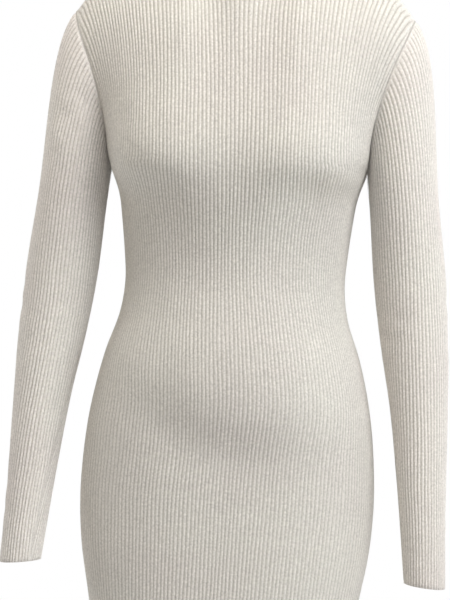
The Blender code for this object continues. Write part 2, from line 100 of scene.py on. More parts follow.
# %% Measures of the body
HEM_Z = -0.885
UNDERARM_X, UNDERARM_Z = 0.1395, -0.240
SHOULDER_X, SHOULDER_Y, SHOULDER_Z = 0.185, 0.010, -0.072  # the tip of the shoulder seam
WALL = 0.0014  # thickness of the cloth between two ribs
SEAM_GAP = 0.0003  # room between two pieces that are sewn together
TORSO_COLUMNS = (
    "z", "half_width", "side_y", "front_y", "back_y", "front_round", "back_round", "pitch"
)
TORSO_ROWS = (
    (-0.885, 0.1260, 0.004, -0.0800, 0.0920, 2.35, 2.20, 0.0038),
    (-0.800, 0.1325, 0.004, -0.0835, 0.1000, 2.45, 2.20, 0.0039),
    (-0.709, 0.1466, 0.005, -0.0880, 0.1120, 2.60, 2.20, 0.0040),
    (-0.650, 0.1567, 0.006, -0.0890, 0.1200, 2.70, 2.20, 0.0041),
    (-0.600, 0.1598, 0.006, -0.0885, 0.1230, 2.70, 2.20, 0.0042),
    (-0.550, 0.1577, 0.006, -0.0925, 0.1190, 2.60, 2.20, 0.0042),
    (-0.500, 0.1516, 0.006, -0.1050, 0.1070, 2.40, 2.20, 0.0044),
    (-0.440, 0.1374, 0.005, -0.1035, 0.0890, 2.25, 2.20, 0.0043),
    (-0.400, 0.1237, 0.004, -0.0940, 0.0790, 2.20, 2.20, 0.0041),
    (-0.365, 0.1190, 0.004, -0.0870, 0.0740, 2.20, 2.20, 0.0039),
    (-0.330, 0.1212, 0.004, -0.0870, 0.0760, 2.20, 2.20, 0.0039),
    (-0.300, 0.1245, 0.004, -0.0910, 0.0800, 2.35, 2.20, 0.0040),
    (-0.270, 0.1290, 0.005, -0.0960, 0.0860, 2.50, 2.25, 0.0042),
    (-0.240, 0.1395, 0.005, -0.1000, 0.0920, 2.70, 2.30, 0.0043),
    (-0.202, 0.1434, 0.005, -0.1010, 0.1000, 2.75, 2.30, 0.0044),
    (-0.167, 0.1486, 0.005, -0.0990, 0.1060, 2.65, 2.30, 0.0044),
    (-0.123, 0.1563, 0.005, -0.0920, 0.1060, 2.45, 2.30, 0.0045),
    (-0.072, 0.1700, 0.005, -0.0790, 0.0980, 2.25, 2.30, 0.0048),
)
print(len(TORSO_ROWS), "levels over", round(1000 * (SHOULDER_Z - HEM_Z)), "mm from hem to shoulder")

# %% Smooth curves through a table
def table(columns, rows):
    """The rows as one array for each named column, in rising z."""
    ordered = sorted(rows)
    return {name: np.array([row[i] for row in ordered], float) for i, name in enumerate(columns)}


def smooth(rows, name, z):
    """A column of a table at height z, on a smooth curve through its rows."""
    known, values = rows["z"], rows[name]
    slopes = np.gradient(values, known)
    i = int(np.clip(np.searchsorted(known, z) - 1, 0, len(known) - 2))
    width = known[i + 1] - known[i]
    s = (z - known[i]) / width
    start = (2 * s**3 - 3 * s**2 + 1) * values[i] + (s**3 - 2 * s**2 + s) * width * slopes[i]
    return start + (3 * s**2 - 2 * s**3) * values[i + 1] + (s**3 - s**2) * width * slopes[i + 1]


def ease(value, low, high):
    """0 below low and 1 above high, with a soft change between."""
    s = np.clip((value - low) / (high - low), 0.0, 1.0)
    return s * s * (3.0 - 2.0 * s)


def unit(vectors):
    vectors = np.asarray(vectors, float)
    return vectors / np.linalg.norm(vectors, axis=-1, keepdims=True)


TORSO = table(TORSO_COLUMNS, TORSO_ROWS)
print("hips", round(2000 * smooth(TORSO, "half_width", -0.6)), "mm across")

# %% [markdown]
# ## Front and back
#
# Each body panel is one surface. Across it runs the count of ribs from the centre, upwards runs
# the height. Under the arms a row is a plain oval. Above them the ends follow the armholes, and
# the rows turn over the shoulders until the last one lies on the shoulder seams and the neckline.
# The panel could be modelled by hand from a plane, but then its ribs would have to be drawn on
# afterwards. Here each row knows its ribs from the start, so that they narrow to the shoulders as
# knitting does.

# %% The ribs of a body panel
SHOULDER_RIBS = 40  # on each side of the centre line, where the panel ends at the shoulder seam
NECK_RIBS = 14  # of these, the ones that end at the neckline
RIBS_LEFT = (
    (0.0, 0.13, 0.31, 0.56, 0.80, 0.94, 1.0),  # share of the way from the underarm to the shoulder
    (46, 46, 45, 43, 42, 41, SHOULDER_RIBS),
)


def widen(share, stretch):
    """Moves ribs from an even spacing to one that is stretch times as wide at the centre."""
    return stretch * share + (1.0 - stretch) * share**3


def up_of(level):
    """How far a level is on its way from the underarm to the shoulder."""
    return float(np.clip((level - UNDERARM_Z) / (SHOULDER_Z - UNDERARM_Z), 0.0, 1.0))


def ribs_at(level):
    """How many ribs a row has on each side of the centre line."""
    return float(np.interp(up_of(level), *RIBS_LEFT))


for place, height in (("hem", HEM_Z), ("underarm", UNDERARM_Z), ("shoulder", SHOULDER_Z)):
    print("ribs from edge to edge at the", place + ":", round(2 * ribs_at(height)))

# %% The shoulder seams and the neckline
NECK_HALF_WIDTH, NECK_Z = 0.068, -0.002  # where the neckline meets the shoulder seams
NECK_FRONT, NECK_BACK = (0.068, 0.043), (0.056, 0.016)  # how far it reaches out and dips
NECK_DIP = 1.3
NECK_FAN, NECK_FAN_LATE = 0.5, 9  # how evenly the ribs end at the neckline, and how late they fan
NECK_SHARPER = ((0.0, 0.07), (0.1, 0.4))  # where below it the rows bend more sharply
SHOULDER_FALL = (0.51, 0.49, 4.4)  # even part of the seam's fall, and the part near its tip


def top_edge(side, share, up):
    """Where the ribs of a panel head for: its shoulder seams, and the neckline between them."""
    neck = NECK_RIBS / SHOULDER_RIBS
    x = SHOULDER_X * widen(share, (NECK_HALF_WIDTH / SHOULDER_X - neck**3) / (neck - neck**3))
    run = np.clip((np.abs(x) - NECK_HALF_WIDTH) / (SHOULDER_X - NECK_HALF_WIDTH), 0.0, 1.0)
    even, late, power = SHOULDER_FALL
    z = NECK_Z + (SHOULDER_Z - NECK_Z) * (even * run + late * run**power)
    part = np.clip(x / NECK_HALF_WIDTH, -1.0, 1.0)
    fan = NECK_FAN * up**NECK_FAN_LATE
    angle = (1.0 - fan) * np.arcsin(part) + fan * 0.5 * np.pi * part
    x = np.where(np.abs(part) < 1.0, NECK_HALF_WIDTH * np.sin(angle), x)
    sharper = ease(1.0 - up, *NECK_SHARPER[0]) * (1.0 - ease(1.0 - up, *NECK_SHARPER[1]))
    inside = np.maximum(np.cos(angle), 0.0) ** (1.0 + sharper)
    reach, drop = NECK_FRONT if side < 0 else NECK_BACK
    return x, SHOULDER_Y + side * reach * inside, z - drop * inside**NECK_DIP


neck_low = float(top_edge(-1, np.array([0.0]), 1.0)[2][0])
print("the neckline is lowest in front, at", round(1000 * neck_low), "mm")

# %% [markdown]
# ## The bust
#
# Knit spans the middle between two breasts, so a dress like this has no two separate bumps there:
# it has one soft form with two low crowns, which ends quickly below and slowly above. Sculpting
# could make it. A formula is chosen, so that both crowns are equal and each can be moved by one
# number.

# %% The bust
BUST_X, BUST_Z = 0.093, -0.238  # where each crown lies
BUST_OUT = 0.027  # how far a crown stands in front of the chest
BUST_MIDDLE = 0.52  # how much of it is left in the middle
BUST_SQUARE = 0.55  # how fast it ends towards the side seam
BUST_ABOVE, BUST_BELOW, BUST_LONGER = 0.064, 0.024, 0.045  # its length up, down, and in the middle
BUST_SPREAD, BUST_SPREAD_SIDE = 0.14, 0.028  # how far its ribs part, and over what width


def bust(x, z, width):
    """How far the cloth over the bust stands out, from 0 to 1, in a row this wide."""
    away = np.clip((np.abs(x) - BUST_X) / (width - BUST_X), 0.0, 1.0)
    between = np.cos(0.5 * np.pi * np.clip(np.abs(x) / BUST_X, 0.0, 1.0)) ** 2
    middle = 1.0 - (1.0 - BUST_MIDDLE) * between
    across = middle * np.cos(0.5 * np.pi * away) ** BUST_SQUARE
    rise = np.where(z > BUST_Z, BUST_ABOVE, BUST_BELOW + BUST_LONGER * between)
    return across * np.exp(-(((z - BUST_Z) / rise) ** 2))


print("share of the bust in the middle:", bust(np.array([0.0]), BUST_Z, UNDERARM_X)[0])

# %% [markdown]
# ## One row of a body panel
#
# On the real dress a row of stitches runs from side seam to side seam. Here it is worked out the
# same way: the oval of its level is measured along its own curve, and each rib gets its share of
# that length. Near the top the row is blended into the shoulder seams and the neckline. Lofting
# two curves would be shorter to write, but it would stretch the ribs unevenly.

# %% One row of a body panel
ARMHOLE_DEPTH = 0.0575  # how far the armhole's edge lies from the side seam's plane, at its top
OUTLINE_POINTS = 400
SQUARE, SQUARE_UP = 0.5, 0.22  # how square a row is below, and how much is added on the way up
SHOULDER_STARTS = (0.2, 1.1)  # where along the neckline the turn over the shoulder sets in
NECK_TURN, CLOSE_IN, RISE = 2.3, 3, 1.5  # how late a row turns over, closes in and rises
STEP, SHARE_STEP = 0.00005, 0.002  # how far apart two places are for a slope, up and across


def run_along(x, y):
    """How far along a flat curve each of its points lies."""
    return np.concatenate([[0.0], np.cumsum(np.hypot(np.diff(x), np.diff(y)))])


def panel_row(side, level, share):
    """Points of a row of the front (side -1) or back (side 1), from edge (-1) to edge (1)."""
    up, ribs = up_of(level), ribs_at(level)
    width = smooth(TORSO, "half_width", level)
    centre_y = smooth(TORSO, "front_y" if side < 0 else "back_y", level)
    power = smooth(TORSO, "front_round" if side < 0 else "back_round", level)
    side_y, square = smooth(TORSO, "side_y", level), SQUARE + SQUARE_UP * up
    cut = ARMHOLE_DEPTH * np.sqrt(1.0 - (1.0 - up) ** 2) / abs(centre_y - side_y)
    last = (1.0 - cut ** (1.0 / square)) ** (1.0 / power)
    across = last * np.sin(np.linspace(0.0, 0.5 * np.pi, OUTLINE_POINTS))
    outline_x = width * across / last
    outline_y = side_y + (centre_y - side_y) * np.maximum(1.0 - across**power, 0.0) ** square
    length = run_along(outline_x, outline_y)
    along = length[-1] * widen(np.abs(share), smooth(TORSO, "pitch", level) * ribs / length[-1])
    x = np.sign(share) * np.interp(along, length, outline_x)
    y = np.interp(along, length, outline_y)
    top_x, top_y, top_z = top_edge(side, share, up)
    shoulder = ease(np.abs(share) * SHOULDER_RIBS / NECK_RIBS, *SHOULDER_STARTS)
    turn = (1.0 - shoulder) * up**NECK_TURN + shoulder * (1.0 - np.sqrt(1.0 - up**CLOSE_IN))
    x = x + (top_x - x) * up**CLOSE_IN
    y = y + (top_y - y) * turn
    z = min(level, UNDERARM_Z) + up * (SHOULDER_Z - UNDERARM_Z) + (top_z - SHOULDER_Z) * up**RISE
    if side < 0:
        height = bust(x, z, width)
        near = np.abs(x) - BUST_X
        x = x + BUST_SPREAD * np.sign(x) * near * np.exp(-((near / BUST_SPREAD_SIDE) ** 2)) * height
        y = y - BUST_OUT * height
    return np.column_stack([x, y + side * 0.5 * SEAM_GAP, z])


def panel_normals(side, level, share):
    """Outward directions of a panel's row."""
    high = min(level + STEP, SHOULDER_Z)
    rise = panel_row(side, high, share) - panel_row(side, high - 2.0 * STEP, share)
    after = panel_row(side, level, np.clip(share + SHARE_STEP, -1.0, 1.0))
    run = after - panel_row(side, level, np.clip(share - SHARE_STEP, -1.0, 1.0))
    return unit(np.cross(run, rise) * -side)


print("front at the bust:", np.round(panel_row(-1, BUST_Z, np.array([0.0, 0.35]))[:, 1], 3))

# %% [markdown]
# ## Where cloth meets cloth
#
# At a seam both pieces have the same cut edge. The armhole is one closed line that the panels and
# the sleeve share, and the neckline is another. Across the wall, at the edge, both pieces point
# the same way, so that they meet flush. Low in the armhole the crease between body and sleeve
# closes, and there each keeps its own direction. A boolean cut between the pieces would be
# quicker, but it would leave slivers along the seam and break the count of the ribs.

# %% The way a sleeve leaves the armhole
CAP_OUT = (0.64, 0.10)  # how far outwards it heads, at the shoulder and under the arm
CAP_SWELL = 0.22  # how much it swells to the front and the back in between


def cap_leave(z, side, hand):
    """The way the sleeve cap leaves the armhole at height z, in front (side -1) or behind (1)."""
    low = np.clip((SHOULDER_Z - z) / (SHOULDER_Z - UNDERARM_Z), 0.0, 1.0)
    out = CAP_OUT[0] * np.cos(0.5 * np.pi * low) + CAP_OUT[1] * np.sin(0.5 * np.pi * low)
    swell = side * CAP_SWELL * np.sin(np.pi * low)
    return unit(np.column_stack([hand * out, swell, -np.sqrt(1.0 - out**2)]))


tip = cap_leave(np.array([SHOULDER_Z]), -1, 1)[0]
tip_way = round(math.degrees(math.asin(tip[0])))
print("the cap leaves the shoulder", tip_way, "degrees from straight down")

# %% The walls at the armhole
CREASE_CLOSES = (0.60, 0.90)  # share of the way down where body and sleeve part
MITRE_LEAST = 0.75  # keeps the slanting cut across the wall short


def armhole_across(side, level, hand):
    """The panel's and the sleeve's way across the wall at the armhole."""
    edge = np.array([float(hand)])
    body = panel_normals(side, level, edge)[0]
    point = panel_row(side, level, edge)[0]
    rise = point - panel_row(side, level - STEP, edge)[0]
    leave = cap_leave(np.array([point[2]]), side, hand)[0]
    sleeve = unit(np.cross(rise, leave)) * side * hand
    if level < UNDERARM_Z + STEP:
        body, sleeve = np.array([hand, 0.0, 0.0]), np.array([-hand, 0.0, 0.0])
    apart = ease((SHOULDER_Z - level) / (SHOULDER_Z - UNDERARM_Z), *CREASE_CLOSES)
    found = []
    for own, other in ((body, sleeve), (sleeve, body)):
        across = own + (1.0 - apart) * other
        if level > SHOULDER_Z - STEP:
            across[1] = 0.0
        across = unit(across)
        found.append(across / max(MITRE_LEAST, float(across @ own)))
    return found


body_way, sleeve_way = armhole_across(-1, SHOULDER_Z - 0.01, 1)
alike = float(unit(body_way) @ unit(sleeve_way))
print("near the shoulder body and sleeve agree to", round(alike, 3))

# %% The wall of a body panel
NEAR_TOP = (0.97, 1.0)  # share of the way up over which the wall turns to its top edge
NECK_ACROSS = (0.8, 0.6)  # outwards and upwards, at the neckline
NECK_BLEND = 0.002  # width over which the neckline's edge turns into the shoulder's


def wall_across(side, level, share):
    """The way across the wall along a row of a panel."""
    points = panel_row(side, level, share)
    directions = panel_normals(side, level, share)
    if level < HEM_Z + STEP:
        directions[:, 2] = 0.0
    near_top = ease(up_of(level), *NEAR_TOP)
    if near_top > 0.0:
        flat = directions * [1.0, 1.0 - near_top, 1.0]
        away = (points - [0.0, points[-1, 1], 0.0]) * [1.0, 1.0, 0.0]
        neck = NECK_ACROSS[0] * unit(away + [0.0, 1e-9, 0.0]) + [0.0, 0.0, NECK_ACROSS[1]]
        on_neck = 1.0 - ease(np.abs(points[:, 0]), NECK_HALF_WIDTH, NECK_HALF_WIDTH + NECK_BLEND)
        on_neck = (on_neck * near_top)[:, None]
        directions = flat * (1.0 - on_neck) + neck * on_neck
    directions = unit(directions)
    for end, hand in ((0, -1), (-1, 1)):
        sideways = np.array([hand, 0.0, 0.0])
        low = level < UNDERARM_Z - STEP
        directions[end] = sideways if low else armhole_across(side, level, hand)[0]
    return directions


top_way = wall_across(-1, SHOULDER_Z, np.array([-1.0, 0.0, 1.0]))[1]
print("the wall at the middle of the neckline faces", np.round(top_way, 2))

# %% [markdown]
# ## A closed shell that remembers how it was knitted
#
# Knitted cloth is about a millimetre and a half thick, so each piece is a wall with an outer
# face, a plainer inner face and rounded edges. Each point of the outer face carries which rib it
# belongs to and how strongly that rib stands there, and each corner of a face carries its place
# in ribs and in rows of stitches. Solidify would give a wall too, but as fine inside as outside,
# which wastes half the faces.

# %% Places along a piece
COURSE = 0.00125  # height of one row of stitches


def line(numbers, places, knit):
    """A row of points: their numbers, where each lies along it, and its rib and row of stitches."""
    return {"numbers": numbers, "places": list(places), "knit": knit}


def counted(ribs, points):
    """Places across a row, in ribs from the centre: so many points a rib, and both ends."""
    last = math.ceil(ribs * points - 0.35) - 1  # the last one keeps clear of the end
    return np.concatenate([[-ribs], np.arange(-last, last + 1) / points, [ribs]])


print("rows of stitches from hem to underarm:", round((UNDERARM_Z - HEM_Z) / COURSE))

# %% A shell


class Shell:
    """One closed wall, stitched together from rows of points."""

    def __init__(self, ring):
        self.ring = ring
        self.points, self.across, self.ribs, self.wales = [], [], [], []
        self.faces, self.knit = [], []

    def row(self, points, across, rib, wales, course):
        """Adds a row of points. In a ring the last of them is the first again."""
        first = len(self.points)
        keep = slice(None, -1) if self.ring else slice(None)
        self.points.extend(points[keep].tolist())
        self.across.extend(across[keep].tolist())
        self.ribs.extend(np.broadcast_to(rib, len(wales))[keep].tolist())
        self.wales.extend(wales[keep].tolist())
        numbers = list(range(first, len(self.points)))
        numbers = [*numbers, first] if self.ring else numbers
        return line(numbers, wales.tolist(), [(wale, course) for wale in wales.tolist()])

    def stitch(self, one, other):
        """Fills the strip between two rows, always along the one whose next stretch comes first."""
        row, next_row = one["numbers"], other["numbers"]
        knit, next_knit = one["knit"], other["knit"]
        middles, next_middles = (
            (0.5 * np.add(at[:-1], at[1:])).tolist() + [np.inf]
            for at in (one["places"], other["places"])
        )
        i, j = 0, 0
        while i < len(row) - 1 or j < len(next_row) - 1:
            if middles[i] <= next_middles[j] + 1e-9:
                self.face((row[i], row[i + 1], next_row[j]), (knit[i], knit[i + 1], next_knit[j]))
                i += 1
            else:
                corners = (row[i], next_row[j + 1], next_row[j])
                self.face(corners, (knit[i], next_knit[j + 1], next_knit[j]))
                j += 1

    def fill(self, rows):
        """Fills the strips between rows that follow one another."""
        for one, other in zip(rows, rows[1:]):
            self.stitch(one, other)

    def face(self, corners, knit):
        """One face, unless two of its corners are the same point."""
        if len(set(corners)) == 3:
            self.faces.append(corners)
            self.knit.extend(knit)

    def ends(self, rows, end):
        """The line that runs up one end of a panel's rows."""
        return line(
            [row["numbers"][end] for row in rows],
            [row["knit"][end][1] for row in rows],
            [row["knit"][end] for row in rows],
        )

    def make(self, name):
        """The shell as an object, with its knitting in attributes and a UV map."""
        mesh = bpy.data.meshes.new(name)
        mesh.from_pydata(self.points, [], self.faces)
        knit = mesh.uv_layers.new(name="knit")
        knit.data.foreach_set("uv", np.array(self.knit, np.float32).ravel())
        for key, kind, values in (
            ("across", "FLOAT_VECTOR", self.across),
            ("rib", "FLOAT", self.ribs),
            ("wale", "FLOAT", self.wales),
        ):
            field = "vector" if kind == "FLOAT_VECTOR" else "value"
            flat = np.array(values, np.float32).ravel()
            mesh.attributes.new(key, kind, "POINT").data.foreach_set(field, flat)
        shape = bmesh.new()
        shape.from_mesh(mesh)
        bmesh.ops.recalc_face_normals(shape, faces=shape.faces)
        if shape.calc_volume(signed=True) < 0.0:
            bmesh.ops.reverse_faces(shape, faces=shape.faces)
        shape.to_mesh(mesh)
        shape.free()
        mesh.shade_smooth()
        made = bpy.data.objects.new(name, mesh)
        bpy.context.scene.collection.objects.link(made)
        print(name, len(mesh.polygons), "triangles before its ribs")
        return made


print("a shell keeps", ", ".join(vars(Shell(ring=True))))

# %% [markdown]
# ## Creases and wandering ribs
#
# Tight knit has few folds. Those that it has are soft troughs, short and uneven, where an elbow
# bends, under the arms, across the belly and in the small of the back. Each is listed as a line
# with a width and a depth. No rib runs quite straight either: the spacing of its neighbours pulls
# it a little to and fro. A cloth simulation would find folds of its own, and not where this dress
# has them.

# %% Folds
ENDS_KEEP = 0.3  # how much of its depth a fold keeps at its ends


def folds(across, z, marks, turn=None):
    """The depth of all the marks at points of a piece laid flat. Sizes are in millimetres.

    A mark is (across, z, across, z, width, depth). turn is how far across it is once round a tube.
    """
    total = np.zeros(np.broadcast(across, z).shape)
    for start_across, start_z, end_across, end_z, width, depth in marks:
        away = across - start_across
        if turn is not None:
            away = (away + 0.5 * turn) % turn - 0.5 * turn
        rise = z - start_z
        run = np.array([end_across - start_across, end_z - start_z])
        place = (away * run[0] + rise * run[1]) / (run @ run)
        nearest = np.clip(place, 0.0, 1.0)
        distance = np.hypot(away - nearest * run[0], rise - nearest * run[1])
        strength = ENDS_KEEP + (1.0 - ENDS_KEEP) * np.sin(np.pi * nearest)
        total += depth * strength * np.exp(-((distance / width) ** 2))
    return total


sample = folds(np.array([0.0, 10.0]), 0.0, ((-10, 0, 10, 0, 5, 1.0),))
print("a fold's depth at its middle and its end:", np.round(sample, 2))

# %% Wandering ribs
WANDER = (  # how far in ribs, and how fast it changes across, up, and from piece to piece
    (0.075, 0.31, 0.021, 1.0),
    (0.055, 0.83, -0.043, 2.0),
    (0.035, 1.9, 0.09, 3.0),
)


def wander(wales, course, wave=0.0):
    """How far each rib strays from its place, in ribs. wave is another number for each piece."""
    return sum(
        reach * np.sin(across * wales + up * course + turn * wave)
        for reach, across, up, turn in WANDER
    )


print("a rib strays by up to", sum(row[0] for row in WANDER), "of its width")

# %% Folds of the body, in millimetres: a line from across, up to across, up, then width and depth
FRONT_FOLDS = (
    (-118, -212, -88, -246, 8, -0.9),
    (116, -210, 86, -248, 9, -0.8),
    (-124, -196, -98, -190, 6, -0.7),
    (-127, -178, -104, -164, 6, 0.6),
    (124, -186, 102, -172, 6, -0.6),
    (-70, -262, -12, -268, 11, -0.7),
    (8, -266, 74, -258, 11, -0.8),
    (-92, -352, -40, -346, 13, -0.5),
    (36, -372, 96, -360, 12, -0.6),
    (-104, -452, -58, -470, 14, 0.6),
    (70, -446, 112, -424, 12, 0.5),
    (-126, -484, -10, -546, 31, -7.6),
    (-30, -546, 70, -556, 28, -3.6),
    (-66, -420, -70, -505, 24, -2.4),
    (-124, -612, -84, -630, 14, -0.6),
    (82, -640, 120, -618, 14, -0.6),
    (-96, -760, -30, -772, 16, -0.5),
    (34, -790, 92, -776, 16, -0.5),
)
BACK_FOLDS = (
    (-92, -318, -14, -326, 10, -1.3),
    (4, -330, 90, -314, 10, -1.4),
    (-78, -352, 10, -357, 9, -1.2),
    (-6, -378, 84, -368, 10, -1.1),
    (-96, -392, -30, -400, 11, -0.9),
    (-122, -214, -78, -236, 9, -1.0),
    (122, -212, 80, -238, 9, -0.9),
    (-118, -184, -84, -170, 8, 0.8),
    (118, -188, 82, -172, 8, 0.7),
    (-70, -640, -8, -650, 16, -0.8),
    (8, -652, 74, -638, 16, -0.8),
    (-90, -730, -20, -742, 16, -0.6),
    (26, -744, 92, -728, 16, -0.6),
)
print(len(FRONT_FOLDS) + len(BACK_FOLDS), "folds on the body")

# %% [markdown]
# ## Building the panels
#
# A panel is knitted from the hem up, and it is built the same way. The rows are closer together
# near the shoulders, where the cloth turns over. Every rib gets five points across, enough for a
# round back and a narrow valley. The inside needs only one point for each rib and every second
# row. On the front the ribs don't hang plumb: the body under them pulls them to one side at the
# hips and back above.

# %% How far the front's ribs are pulled to the wearer's left, in millimetres at each height
PULL_COLUMNS = ("z", "pull")
PULL_ROWS = (
    (-0.885, 0.0),
    (-0.720, 0.0),
    (-0.640, 2.0),
    (-0.580, 3.6),
    (-0.535, 6.2),
    (-0.490, 8.6),
    (-0.448, 6.0),
    (-0.404, 2.2),
    (-0.361, -0.8),
    (-0.317, -1.8),
    (-0.273, -1.2),
    (-0.230, -1.3),
    (-0.187, -3.2),
    (-0.143, -6.4),
    (-0.100, -10.2),
    (-0.072, -12.0),
)
PULL = table(PULL_COLUMNS, PULL_ROWS)
print("the ribs are pulled by", min(PULL["pull"]), "to", max(PULL["pull"]), "mm")

# %% One row of a panel with its folds
MM = 0.001
EDGE_CALM = 5.0  # ribs beside a seam that keep straighter
TOP_CALM, FOLDS_TOP_CALM = 0.2, 0.15  # the same below the shoulder, as a share of the way up
HEM_CALM = 0.02  # height over which a hem or cuff stays free of folds
PULL_WIDTH = 22.0  # ribs from a side seam over which the pull sets in


def panel_points(side, level, wales, marks):
    """Points of a panel's row with its folds, and the way across the wall."""
    ribs, course = ribs_at(level), (level - HEM_Z) / COURSE
    free = ease(ribs - np.abs(wales), 0.0, EDGE_CALM)
    moved = wales + wander(wales, course, side) * free * ease(1.0 - up_of(level), 0.0, TOP_CALM)
    if side < 0:
        pull = MM * smooth(PULL, "pull", level) / smooth(TORSO, "pitch", level)
        moved = moved + pull * ease(ribs - np.abs(wales), 0.0, PULL_WIDTH)
    share = moved / ribs
    points = panel_row(side, level, share)
    across = wall_across(side, level, share)
    calm = free * ease(1.0 - up_of(level), 0.0, FOLDS_TOP_CALM)
    calm = calm * ease(level, HEM_Z, HEM_Z + HEM_CALM)
    depth = folds(1000.0 * points[:, 0], 1000.0 * points[:, 2], marks) * calm
    return points + across * (MM * depth)[:, None], across


belly, _ = panel_points(-1, -0.51, np.array([-20.0, 0.0, 20.0]), FRONT_FOLDS)
print("front across the belly fold:", np.round(belly[:, 1], 3))

# %% How strongly the ribs stand
RIB_FADE = (0.010, 0.034)  # distance from the underarm point over which the ribs rise
RIB_STARTS = 0.9  # ribs from a seam
RIB_ENDS = 0.035  # share of the way up, below the shoulder
HIP_STRETCH = 0.22  # how much flatter the ribs are where the hips stretch them
HIP_LEVELS = (0.24, 0.44)  # how far down that sets in
UNDERARM = np.array([UNDERARM_X, smooth(TORSO, "side_y", UNDERARM_Z), UNDERARM_Z])


def clear_of_underarm(points):
    """0 at the underarm points and 1 away from them."""
    mirrored = np.column_stack([np.abs(points[:, 0]), points[:, 1:]])
    return ease(np.linalg.norm(mirrored - UNDERARM, axis=1), *RIB_FADE)


def panel_strength(level, wales, points):
    """How strongly each rib of a panel's row stands, from 0 to 1."""
    strength = clear_of_underarm(points) * ease(ribs_at(level) - np.abs(wales), 0.0, RIB_STARTS)
    strength = strength * ease(1.0 - up_of(level), 0.0, RIB_ENDS)
    return strength * (1.0 - HIP_STRETCH * ease(-level, *HIP_LEVELS))


centre = np.array([0.0])
at_hem = panel_strength(HEM_Z, centre, panel_row(-1, HEM_Z, centre))[0]
print("the middle rib stands at the hem with", round(float(at_hem), 2), "of its full height")

# %% The two panels
RIB_POINTS, INSIDE_POINTS, RIM_POINTS = 5, 1, 2  # points for each rib
INSIDE_EVERY = 2  # one row inside for so many rows outside
LOW_ROWS, HIGH_ROWS = 112, 52  # below the underarm and above it
ROWS_CROWD = 1.8  # how much closer together the rows are near the shoulder
EDGE_ROUND = 0.0006  # how far both faces end before the rim
RIM_IN = 0.4  # where the rim's middle line lies across the wall


def panel_levels():
    """The heights of a panel's rows."""
    up = 1.0 - (1.0 - np.linspace(0.0, 1.0, HIGH_ROWS + 1)[1:]) ** ROWS_CROWD
    low = np.linspace(HEM_Z, UNDERARM_Z, LOW_ROWS + 1)
    return [*low, *(UNDERARM_Z + up * (SHOULDER_Z - UNDERARM_Z))]


def make_panel(name, side, marks):
    """The front (side -1) or the back (side 1), as one closed wall."""
    shell = Shell(ring=False)
    levels = panel_levels()
    outer, inner = [], []
    for i, level in enumerate(levels):
        ribs, course = ribs_at(level), (level - HEM_Z) / COURSE
        edge = i in (0, len(levels) - 1)
        wales = counted(ribs, RIB_POINTS)
        points, across = panel_points(side, level, wales, marks)
        strength = panel_strength(level, wales, points)
        if i == 0:
            points = points + [0.0, 0.0, EDGE_ROUND]
        outer.append(shell.row(points, across, strength, wales, course))
        if i % INSIDE_EVERY == 0 or edge:
            plain = counted(ribs, INSIDE_POINTS)
            points, across = panel_points(side, level, plain, marks)
            points = points - WALL * across
            if i == 0:
                points = points + [0.0, 0.0, EDGE_ROUND]
            inner.append(shell.row(points, across, 0.0, plain, course))
    plain = counted(ribs_at(HEM_Z), RIM_POINTS)
    points, across = panel_points(side, HEM_Z, plain, marks)
    rim = shell.row(points - RIM_IN * WALL * across, across, 0.0, plain, 0.0)
    shell.fill(outer)
    shell.fill(inner)
    shell.stitch(outer[0], rim)
    shell.stitch(rim, inner[0])
    shell.stitch(outer[-1], inner[-1])
    for end in (0, -1):
        outside = shell.ends([rim, *outer], end)
        inside = shell.ends([rim, *inner], end)
        outside["places"][0] = inside["places"][0] = -1.0  # the rim's end comes before both
        shell.stitch(outside, inside)
    return shell.make(name)


front = make_panel("front_panel", -1, FRONT_FOLDS)
back = make_panel("back_panel", 1, BACK_FOLDS)

# %% [markdown]
# ## Sleeves
#
# A set-in sleeve is a tube whose top is cut to the armhole. The cap leaves the armhole outward at
# the shoulder and almost straight down under the arm, and runs into the arm's ovals in one smooth
# bend. Each lower level is an oval of its own, so the elbow can bend a little and the cuff can
# come forward. The sleeve seam starts under the arm and turns a little towards the front on its
# way to the wrist. A curve with a bevel would make a tube faster, but its top could not be cut to
# the armhole.

# %% Measures of the sleeves
CUFF_Z, ELBOW_Z = -0.680, -0.390
CUFF_LIFT = {1: -0.001, -1: 0.007}  # how far each cuff is lifted: the wearer's left (1) and right
SEAM_TURNS = {1: 0.10, -1: 0.30}  # how far the seam turns, as a share of half the way round
SLEEVE_COLUMNS = ("z", "x", "y", "half_width", "half_depth", "tilt", "ribs")
SLEEVE_ROWS = (
    (-0.282, 0.1818, 0.002, 0.0366, 0.0468, 0.10, 33),
    (-0.360, 0.1906, 0.004, 0.0380, 0.0425, 0.10, 32),
    (-0.425, 0.1981, 0.001, 0.0356, 0.0390, 0.09, 30),
    (-0.490, 0.2050, -0.005, 0.0305, 0.0350, 0.06, 27),
    (-0.575, 0.2112, -0.017, 0.0255, 0.0300, 0.00, 24),
    (-0.680, 0.2185, -0.034, 0.0213, 0.0245, -0.10, 22),
)
SLEEVE = table(SLEEVE_COLUMNS, SLEEVE_ROWS)
ARM_TOP = float(SLEEVE["z"][-1])
for place, row in (("upper arm", -1), ("wrist", 0)):
    across, deep = (round(2000 * SLEEVE[name][row]) for name in ("half_width", "half_depth"))
    print(place, across, "by", deep, "mm")

# %% The closed line of the armhole
ARMHOLE_POINTS, ARMHOLE_CROWDS = 57, 1.6


def line_shares(points):
    """How far along a line each of its points lies, from 0 to 1."""
    steps = np.linalg.norm(np.diff(points, axis=0), axis=1)
    return np.concatenate([[0.0], np.cumsum(steps)]) / steps.sum()


def on_loop(loop, share):
    """Points at these shares of a closed line."""
    return np.column_stack([np.interp(share, loop[0], loop[1][:, i]) for i in range(3)])


